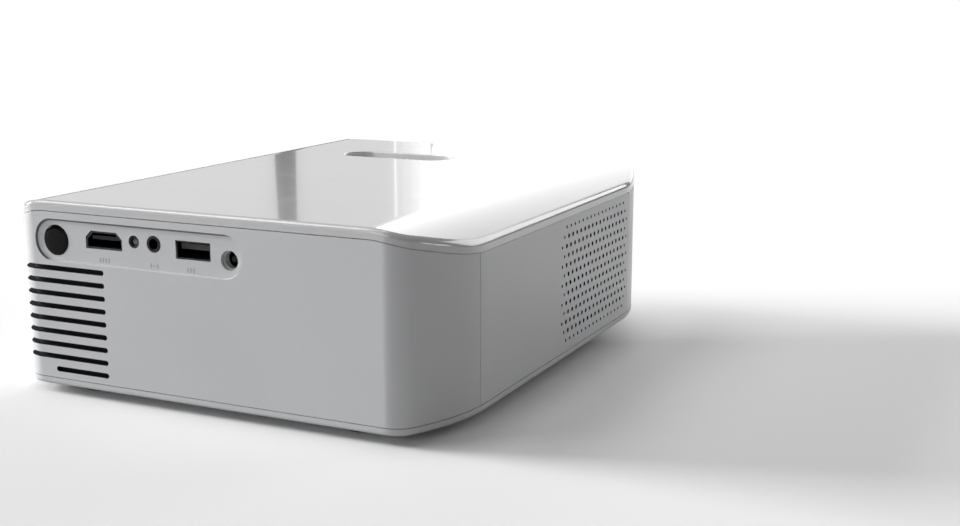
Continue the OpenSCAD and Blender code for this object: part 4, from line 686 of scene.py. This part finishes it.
# CAD nodes whose modelled shape stays in view
CAD_FINISH = {"main_board": BOARD, "power_board": BOARD, "button_board": BOARD, "lcd_panel": PANEL_GLASS,
              "condenser_lens": LENS_GLASS, "fresnel_lens": LENS_GLASS, "led_module": LAMP_GOLD,
              "pickup_sled": BLACK}
for node, finish in CAD_FINISH.items():
    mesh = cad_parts[node].data
    mesh.materials.clear()
    mesh.materials.append(finish)


# Which faces of the covers keep their own white, and which are painted in shade
def meets_neighbour(centre, normal):
    """Faces that meet the next cover: at the upright joints and at the joint near the floor."""
    upright = (np.abs(np.abs(centre[:, 1]) - PANEL_JOINT_Y) < 0.6) & (np.abs(normal[:, 1]) > 0.8)
    return upright | ((centre[:, 2] < 9) & (normal[:, 2] < -0.8))


def in_jack(centre):
    """Whether a point lies within the power jack's hole, seen from behind."""
    return np.hypot(centre[:, 0] - JACK_X, centre[:, 2] - JACK_Z) < JACK_R


def shell_painted_shade(centre, normal):
    """0 skin; 1 painted shade in black: all that lies inside the shells, and the walls of the air slots; 2
    painted shade on the upper and tray-side stretch of the bevel round the socket recess; 3 its lower
    stretch, which faces up, painted a little darker to tone down the light it catches."""
    depth = outline_depth(centre[:, :2])
    y, z = centre[:, 1], centre[:, 2]
    slot_wall = (depth > 0.35) & (y > SLOTS_Y) & (z > SLOTS_LOW) & (z < SLOTS_HIGH)
    jack_hole = in_jack(centre) & (depth < WALL) & (y > 0)
    painted_shade = ((depth > WALL - 0.6) | slot_wall) & ~meets_neighbour(centre, normal) & ~jack_hole
    bevel = (y > RECESS_FLOOR + 0.05) & (y < HALF_D - 0.05) & (z > 45) & (np.abs(normal[:, 1]) > 0.2)
    in_shade = (normal[:, 2] < -0.3) | (normal[:, 0] < -0.3)
    return np.where(bevel & in_shade, 2, np.where(bevel & (normal[:, 2] > 0.3), 3, painted_shade))


def grille_painted_shade(centre, normal):
    """Painted shade in black: the inside of the grille panel and the walls of its holes."""
    return (outline_depth(centre[:, :2]) > 0.6) & ~meets_neighbour(centre, normal)


def base_painted_shade(centre, normal):
    """Painted shade in black: the base above its floor, and the walls of the holes through the floor."""
    depth = outline_depth(centre[:, :2])
    inside = (centre[:, 2] > BASE_INSIDE_Z) & (depth > WALL + 0.1)
    return inside | ((depth > 4) & (np.abs(normal[:, 2]) < 0.5))


def cover_painted_shade(centre, normal):
    """Painted shade in black: what hangs under the cover, 6 mm and more below its crown."""
    return (centre[:, 2] < crown(centre[:, 0], TOP_Z - 6)) & (outline_depth(centre[:, :2]) > 1.0)


def crisp_recess(mesh):
    """Draws the outer line of the bevel round the socket recess in to 0.3 mm from its inner line, a rounded
    rectangle: distance = |outside part of (|x|, |z|) less the straight halves| less the corner radius."""
    points = values(mesh.vertices, "co")
    side = points[:, [0, 2]] / MM - (RECESS_X, RECESS_Z)
    over = np.abs(side) - (RECESS_HALF_W - RECESS_R, RECESS_HALF_H - RECESS_R)
    outside = np.maximum(over, 0)
    reach = np.hypot(*outside.T)
    distance = reach + np.minimum(over.max(1), 0) - RECESS_R
    away = outside * np.sign(side) / np.maximum(reach, 1e-9)[:, None]
    line = (points[:, 1] > (HALF_D - 0.1) * MM) & (distance > 0.3) & (distance < 1.0) & (reach > 0)
    points[:, [0, 2]] -= np.where(line[:, None], away * (distance - 0.3)[:, None] * MM, 0)
    mesh.vertices.foreach_set("co", points.ravel())
    mesh.update()


# Covers
cover = cover_mesh("crowned_cover")
# The cover's underside is painted black as shade
paint(cover, [GLOSS_WHITE, SHADE_BLACK], cover_painted_shade)
new_object("crowned_cover", cover, "projector", "top_cover")
for node, name, white, rule in (("rear_shell", "socket_end", SATIN_WHITE, shell_painted_shade),
                                ("front_shell", "lens_end", SATIN_WHITE, shell_painted_shade),
                                ("grille_panel", "grille_side", SATIN_WHITE, grille_painted_shade),
                                ("tray_side_panel", "tray_side", SATIN_WHITE, shell_painted_shade),
                                ("bottom_cover", "base", BASE_WHITE, base_painted_shade)):
    skin = smooth_skin(name, node, reshape=crisp_recess if node == "rear_shell" else None)
    # Each skin keeps its own white, with painted shade in black inside it, and painted shade on the recess's
    # bevel
    paint(skin, [white, SHADE_BLACK, SHADED_WHITE, DIMMED_LIP_WHITE], rule)
    new_object(name, skin, "projector", node)


# Sockets
def tongue_part(x0, z0, half_w, half_h, root_y):
    """A rule for a socket: 0 its shell, 1 the tongue round (x0, z0), from root_y outwards."""
    def rule(centre, normal):
        x, y, z = centre.T
        return (np.abs(x - x0) < half_w) & (np.abs(z - z0) < half_h) & (y > root_y)
    return rule


# The socket shells are nickel painted dark with shade
softened("wide_socket", "hdmi_port", [SHADED_NICKEL, SOCKET_BLACK], "projector", 0.1,
         rule=tongue_part(VIDEO_X, VIDEO_Z, 5.6, 0.72, 89.5))
softened("flat_socket", "usb_port", [SHADED_NICKEL, BLACK], "projector", 0.1,
         rule=tongue_part(DATA_X, DATA_Z, 5.7, 1.0, 86.2))
softened("round_socket", "audio_jack", [SOCKET_BLACK], "projector", 0.25)

turned("remote_window", [(0, 97.8), (5.85, 97.8), (5.85, 99.65), (5.05, 99.65), (5.05, 101.2), (4.95, 101.35),
                         (4.75, 101.42), (3.2, 101.5), (1.6, 101.54), (0, 101.55)],
       (WINDOW_X, 0, WINDOW_Z), "y", 64, [WINDOW_BLACK], "projector", "ir_window", smooth=50)
light = turned("status_light", [(0, 94.8), (2.45, 94.8), (2.45, 99.65), (1.95, 99.65), (1.95, 100.75),
                                (1.82, 100.9), (1.5, 100.9), (1.36, 100.75), (1.3, 100.1), (1.0, 100.38),
                                (0.6, 100.55), (0, 100.6)],
               (LIGHT_X, 0, LIGHT_Z), "y", 48, [], "projector", "status_led", smooth=50)
paint(light.data, [SOCKET_BLACK, LED_DOME],
      lambda c, n: (np.hypot(c[:, 0] - LIGHT_X, c[:, 2] - LIGHT_Z) < 1.25) & (c[:, 1] > 100.0))

# Painted light: the power jack's bore is pale down to JACK_DARK_Y where light falls in, and black behind that
jack = merged_copy("power_jack", "dc_jack")
edited(jack, lambda work: bmesh.ops.bisect_plane(
    work, geom=work.verts[:] + work.edges[:] + work.faces[:], dist=1e-7, plane_co=(0, JACK_DARK_Y * MM, 0),
    plane_no=(0, 1, 0)))
jack.set_sharp_from_angle(angle=SHARP_ANGLE)
paint(jack, [SOCKET_BLACK, JACK_MOUTH_LIGHT],
      lambda c, n: (in_jack(c) | (n[:, 1] > 0.9)) & (c[:, 1] > JACK_DARK_Y))
new_object("power_jack", jack, "projector", "dc_jack")
# The jack's metal pin is given socket black: painted shade deep in the jack
softened("jack_pin", "dc_pin", [SOCKET_BLACK], "projector", 0.3, 3)

# Printed marks in the recess: plain strokes, no letters
strokes = [bar(VIDEO_X - x, 47.9, 0.4, 1.5) for x in (-1.8, -0.6, 0.6, 1.8)]
strokes += [bar(AUDIO_X - x, 47.8, 0.45, 1.5) for x in (-1.3, 1.3)] + [bar(AUDIO_X, 47.8, 1.0, 0.35)]
strokes += [bar(DATA_X + 1.05 - x, 47.6, 0.4, 1.5) for x in (-1.2, 0, 1.2)]
flat_marks("recess_marks", [shape[::-1] for shape in strokes], (0, MARK_Y, 0), (1, 0, 0), "projector",
           MARK_GREY)


def shadow_line_quads(width, start=10, end=130, arc_steps=17, end_steps=9):
    """The painted shadow line where the recess's floor meets its upper wall: a strip that follows the wall
    from the tray side's corner to the far one, and thins out at both ends. Angles are in degrees."""
    turn = np.radians(np.concatenate([np.linspace(start, 90, arc_steps), np.linspace(90, end, end_steps)]))
    half = RECESS_HALF_W - RECESS_R
    middle = np.where(np.arange(len(turn)) < arc_steps, RECESS_X + half, RECESS_X - half)
    depth = width * np.concatenate([np.clip(np.linspace(0, 2, arc_steps), 0, 1),
                                    np.linspace(1, 0, end_steps)])
    wall, floor = (np.stack([middle + reach * np.cos(turn),
                             RECESS_Z + RECESS_HALF_H - RECESS_R + reach * np.sin(turn)], 1)
                   for reach in (RECESS_R, RECESS_R - depth))
    return np.stack([wall[:-1], wall[1:], floor[1:], floor[:-1]], 1)


# A strip of painted shade along the recess's upper wall
flat_marks("recess_shadow_line", shadow_line_quads(0.42), (0, MARK_Y, 0), (1, 0, 0), "projector", SHADED_WHITE)


def slot_shade_screen():
    """A thin sheet close behind the air slots, in black that paints shade into them. Its section is a flat
    loop, 2.5 to 2.9 mm inside the outline and from z = 6 to 47. It is carried along the outline round the
    corner, and closed at each end."""
    lines = [outline_curve(inset, 60)[0][:240] for inset in (2.5, 2.9)]
    kept = (lines[0][:, 1] > 73) & (lines[0][:, 0] > 36)
    near, far = (line[kept] for line in lines)
    loop = np.array([np.column_stack([line, np.full(len(line), z)])
                     for line, z in ((near, 6), (near, 47), (far, 47), (far, 6))])
    loop[:, [0, -1]] = loop[:, [0, -1]].mean(0)
    return plain_mesh("slot_shade_screen", loop, grid_faces(4, loop.shape[1], close_rows=True, close_cols=False),
                      [SHADE_BLACK], smooth=30)


new_object("slot_shade_screen", slot_shade_screen(), "projector")

# Lens: a rounded trim ring, a barrel with a stepped bore, and coated lenses
turned("lens_ring", [(14.2, -96.8), (15.4, -96.8), (15.4, -100.8), (16.7, -100.8), (16.9, -101.0),
                     (16.9, -101.4), (16.75, -101.7), (16.4, -101.88), (16.0, -101.9), (15.4, -101.85),
                     (15.0, -101.6), (14.6, -101.1), (14.35, -100.5), (14.2, -99.6)],
       (LENS_X, 0, LENS_Z), "y", 128, [TRIM_SILVER], "projector", "lens_trim", smooth=50)
baffles = [(11.4 + 0.35 * (i % 2), y) for i, y in enumerate(np.linspace(-89.5, -70.5, 39))]
turned("stepped_barrel", [(11.4, -61), (12.8, -61), (13, -61.2), (13, -96.7), (12.9, -96.92), (12.7, -97),
                          (11.0, -97), (10.7, -96.8), (10.4, -96.2), (10.4, -95.1), (10.5, -95), (11.4, -95)]
       + baffles, (LENS_X, 0, LENS_Z), "y", 96, [BLACK], "lens", "lens_barrel", smooth=30)
for node, name in (("front_lens", "objective"), ("rear_lens", "inner_lens")):
    lens = merged_copy(name, node)
    lens.set_sharp_from_angle(angle=math.radians(40))
    lens.materials.append(LENS_GLASS)
    new_object(name, lens, "lens", node)
softened("fluted_ring", "focus_ring", [RING_GREY], "focus_ring", 0.25)

# Feet: rubber discs with a bevelled edge, a hollow and fine grip rings, carried round four centres
foot_profile = [(0, 0.4), (1.2, 0.4), (1.35, 0.25), (1.75, 0.25), (1.9, 0.4), (2.7, 0.4), (2.85, 0.25),
                (3.25, 0.25), (3.4, 0.4), (4.9, 0.4), (5.05, 0.05), (5.2, 0), (6.9, 0), (7.3, 0.1),
                (7.65, 0.3), (7.9, 0.6), (8, 0.9), (8, 3.6), (0, 3.6)]
feet = np.array([turned_points(foot_profile, (x, y, 0), "z", 64)
                 for x in (-FOOT_X, FOOT_X) for y in (-FOOT_Y, FOOT_Y)])
foot_faces = grid_faces(len(foot_profile), 64, close_rows=True)
feet_faces = np.concatenate([foot_faces + i * len(foot_profile) * 64 for i in range(len(feet))])
new_object("grip_feet", plain_mesh("grip_feet", feet, feet_faces, [RUBBER], smooth=35), "projector",
           "rubber_feet")


def levelling_radius(radius, distance, angle):
    """The wheel's rim has round notches 0.5 mm deep. The stud's crest and root run round it as a helix:
    radius less 0.3 mm times (1 + sin(angle less a full turn for each pitch of distance))."""
    rim = (radius > 8) & (distance < 5)
    stud = (np.abs(radius - 3) < 0.05) & (distance > 4.5)
    notch = 0.5 * np.clip(np.cos(WHEEL_NOTCHES * angle), 0, 1) ** 0.7 * rim
    thread = 0.3 * (1 + np.sin(angle - TAU * distance / WHEEL_PITCH)) * stud
    return radius - notch - thread


stud = [(3.0, z) for z in np.arange(4.6, 18.9, 0.16)]
turned("levelling_foot", [(0, 0.7), (1.35, 0.7), (1.5, 0.85), (1.5, 1.7), (8.6, 1.7), (8.85, 1.8), (9, 2.0),
                          (9, 4.0), (8.85, 4.2), (8.6, 4.3), (2.95, 4.3)] + stud
       + [(2.5, 19.2), (2.3, 19.3), (0, 19.3)], (0, WHEEL_Y, 0), "z", 144, [BLACK], "tilt_screw",
       "tilt_screw", radius_of=levelling_radius)


def insert_radius(radius, distance, angle):
    """The insert's bore has a helical thread and its outside a knurl of ridges."""
    bore, outside = radius < 2.7, (radius > 4.9) & (distance > 3.7) & (distance < 8.2)
    thread = 0.28 * (1 + np.sin(angle - TAU * distance / INSERT_PITCH)) * bore
    return radius + thread - 0.2 * np.abs(np.sin(INSERT_RIDGES / 2 * angle)) * outside


inner = [(2.6, z) for z in np.arange(8.2, 3.7, -0.1)]
turned("threaded_insert", [(3.1, 3.2), (4.8, 3.2), (5.0, 3.4), (5.0, 3.75), (5.0, 8.15), (5.0, 8.5),
                           (4.8, 8.7), (3.1, 8.7)] + inner, (INSERT_X, 0, 0), "z", 120, [BRASS], "projector",
       "tripod_insert", radius_of=insert_radius)

# Keys with small plain signs, each riding on its own key
KEYS = {"power_button": (24, [ring_part(1.15, 0.3, 125, 415), bar(0, 1.1, 0.3, 1.3)]),
        "source_button": (12, [bar(-0.35, 0, 1.5, 0.3), [(0.3, -0.75), (1.3, 0), (0.3, 0.75)]]),
        "menu_button": (0, [bar(0, h, 2.0, 0.3) for h in (-0.7, 0, 0.7)]),
        "volume_up_button": (-12, [bar(0, 0, 2.0, 0.32), bar(0, 0.6, 0.32, 0.88), bar(0, -0.6, 0.32, 0.88)]),
        "volume_down_button": (-24, [bar(0, 0, 2.0, 0.32)])}
for node, (y, signs) in KEYS.items():
    softened(node.replace("button", "key"), node, [BUTTON_WHITE], node, 0.35, 3)
    flat_marks(node.replace("button", "sign"), signs, (KEY_FACE, y, KEYS_Z), (0, 1, 0), node, KEY_MARK)
softened("eject_key", "eject_button", [BUTTON_WHITE], "eject_button", 0.25, 3)
flat_marks("eject_sign", [[(-0.8, -0.15), (0.8, -0.15), (0, 0.75)], bar(0, -0.55, 1.6, 0.32)],
           (EJECT_FACE, EJECT_Y, EJECT_Z), (0, 1, 0), "eject_button", KEY_MARK)

# The rest keeps its modelled shape, with its sharp edges softened. For each body: node, finish, edge radius
SOFT = [("tray", [("tray_bezel", SATIN_WHITE, 0.3), ("tray", TRAY_BLACK, 0.25),
                  ("traverse_frame", SHEET_STEEL, 0.12), ("spindle_motor", BRIGHT_STEEL, 0.2),
                  ("guide_rods", BRIGHT_STEEL, 0.2), ("sled_motor", BRIGHT_STEEL, 0.2)]),
        ("turntable", [("turntable", BLACK, 0.25)]),
        ("lead_screw", [("lead_screw", BRASS, 0.05)]),
        ("rail_left", [("rail_left", SHEET_STEEL, 0.1)]),
        ("rail_right", [("rail_right", SHEET_STEEL, 0.1)]),
        ("projector", [("drive_base", SHEET_STEEL, 0.12), ("drive_cover", SHEET_STEEL, 0.12),
                       ("cover_screws", SCREW_STEEL, 0.15), ("board_screws", SCREW_STEEL, 0.12),
                       ("fan_frame", INNER_BLACK, 0.25)]),
        ("fan_rotor", [("fan_rotor", BLACK, 0.15)]),
        ("projector", [("speaker_basket", SHEET_STEEL, 0.15), ("speaker_cone", CONE, 0.1),
                       ("engine_case", INNER_BLACK, 0.4), ("engine_lid", INNER_BLACK, 0.3),
                       ("lens_holder", INNER_BLACK, 0.3), ("heatsink", FIN_ALUMINIUM, 0.1)]),
        ("tilt_pad", [("tilt_pad", RUBBER, 0.25)]),
        ("projector", [("tilt_nut", BRASS, 0.15)])]
for body, pieces in SOFT:
    for node, finish, width in pieces:
        softened("soft_" + node, node, [finish], body, width)

# Floor, light and camera
FLOOR_HALF, FLOOR_PALE, FLOOR_BOUNCE = 6.0, (0.97, 0.97, 0.97), (0.34, 0.34, 0.34)
BACK_OF_STAGE = (0.4263, -0.9046, 0)
LAMP_REACH, LAMP_AIM = 3.0, Vector((0, 0, 0.03))


def stage_floor():
    """A wide pale floor that fades into the white backdrop towards the back of the stage and far out. Camera,
    glossy and clear rays see it pale; it throws less light back onto the object."""
    s = FLOOR_HALF
    mesh = bpy.data.meshes.new("studio_floor")
    mesh.from_pydata([(-s, -s, 0), (s, -s, 0), (s, s, 0), (-s, s, 0)], [], [(0, 1, 2, 3)])
    floor = bpy.data.objects.new("studio_floor", mesh)
    bpy.context.scene.collection.objects.link(floor)
    material, tree, shader, vector = new_material("pale studio floor")
    shader.inputs["Roughness"].default_value = 0.6
    shader.inputs["Specular IOR Level"].default_value = 0.2
    path = tree.nodes.new("ShaderNodeLightPath").outputs
    seen = math_node(tree, "MAXIMUM", path["Is Camera Ray"],
                     math_node(tree, "MAXIMUM", path["Is Glossy Ray"], path["Is Transmission Ray"]))
    feed(tree, shader.inputs["Base Color"], mix_colour(tree, seen, FLOOR_BOUNCE, FLOOR_PALE))
    back = add_node(tree, "VectorMath", {0: vector, 1: BACK_OF_STAGE}, operation="DOT_PRODUCT")
    out = add_node(tree, "VectorMath", {0: vector}, operation="LENGTH")
    fade = math_node(tree, "MAXIMUM", ramp(tree, back.outputs["Value"], 0.0, 0.1),
                     ramp(tree, out.outputs["Value"], 0.7, 1.6))
    white = tree.nodes.new("ShaderNodeEmission").outputs[0]
    mix = add_node(tree, "MixShader", {0: times(tree, fade, seen), 1: shader.outputs[0], 2: white})
    feed(tree, tree.nodes["Material Output"].inputs["Surface"], mix.outputs[0])
    mesh.materials.append(material)


def studio_world():
    """A plain grey room whose backdrop is white to the camera."""
    world = bpy.data.worlds.new("studio")
    bpy.context.scene.world = world
    world.use_nodes = True
    tree = world.node_tree
    room = tree.nodes["Background"]
    room.inputs["Color"].default_value = (0.02, 0.02, 0.02, 1)
    room.inputs["Strength"].default_value = 1.0
    backdrop = add_node(tree, "Background", {"Color": (1, 1, 1)})
    camera_ray = tree.nodes.new("ShaderNodeLightPath").outputs["Is Camera Ray"]
    mix = add_node(tree, "MixShader", {0: camera_ray, 1: room.outputs[0], 2: backdrop.outputs[0]})
    feed(tree, tree.nodes["World Output"].inputs["Surface"], mix.outputs[0])


def soft_box(name, azimuth, elevation, width, height, watts):
    """A soft box LAMP_REACH away, in a direction from the object and of a size that are given in degrees."""
    turn, rise = math.radians(azimuth), math.radians(elevation)
    light = bpy.data.lights.new(name, "AREA")
    light.shape, light.energy = "RECTANGLE", watts
    light.size = 2 * LAMP_REACH * math.tan(math.radians(width) / 2)
    light.size_y = 2 * LAMP_REACH * math.tan(math.radians(height) / 2)
    lamp = bpy.data.objects.new(name, light)
    bpy.context.scene.collection.objects.link(lamp)
    lamp.location = LAMP_REACH * Vector((math.cos(rise) * math.cos(turn), math.cos(rise) * math.sin(turn),
                                         math.sin(rise)))
    lamp.rotation_euler = (LAMP_AIM - lamp.location).to_track_quat("-Z", "Y").to_euler()


stage_floor()
studio_world()
soft_box("low_key", 10, 19, 18, 16, 105)
soft_box("high_key", 25, 50, 28, 22, 24)
soft_box("overhead", -20, 80, 14, 14, 10)
soft_box("socket_side_fill", 80, 18, 36, 18, 17.5)
soft_box("grille_side_fill", -120, 20, 26, 24, 18.5)
soft_box("low_side_fill", 200, 8, 20, 10, 8.1)
# Boxes that the glossy top mirrors: a bright one that fades at its edge, and two dim ones with a gap between
soft_box("wide_back", -82.6, 18, 38.8, 32, 25)
for step in range(4):
    soft_box(f"back_step_{step}", -61.6 - 0.45 * step, 13, 0.45, 18, 0.057 + 0.0095 * step)
soft_box("back_strip_one", -59.0, 13, 4.9, 18, 0.535)
soft_box("back_strip_two", -47.75, 13, 15.4, 18, 1.72)

# The camera: its place, the directions in which it looks and its picture runs to the right, and its lens
CAMERA_AT, CAMERA_FORWARD = (-0.25797, 0.44102, 0.13555), (0.4177, -0.8863, -0.2001)
CAMERA_RIGHT, SENSOR_WIDTH, FOCAL_LENGTH = (-0.9046, -0.4264, 0.0), 36.0, 50.835
camera_data = bpy.data.cameras.new("camera")
camera = bpy.data.objects.new("camera", camera_data)
bpy.context.scene.collection.objects.link(camera)
bpy.context.scene.camera = camera
camera_data.sensor_fit = "HORIZONTAL"
camera_data.sensor_width, camera_data.lens = SENSOR_WIDTH, FOCAL_LENGTH
camera_data.clip_start, camera_data.clip_end = 0.01, 50
forward, right = Vector(CAMERA_FORWARD).normalized(), Vector(CAMERA_RIGHT).normalized()
upward = right.cross(forward).normalized()
camera.matrix_world = (Matrix.Translation(CAMERA_AT)
                       @ Matrix((right, upward, -forward)).transposed().to_4x4())

bpy.context.scene.view_settings.view_transform = "Standard"
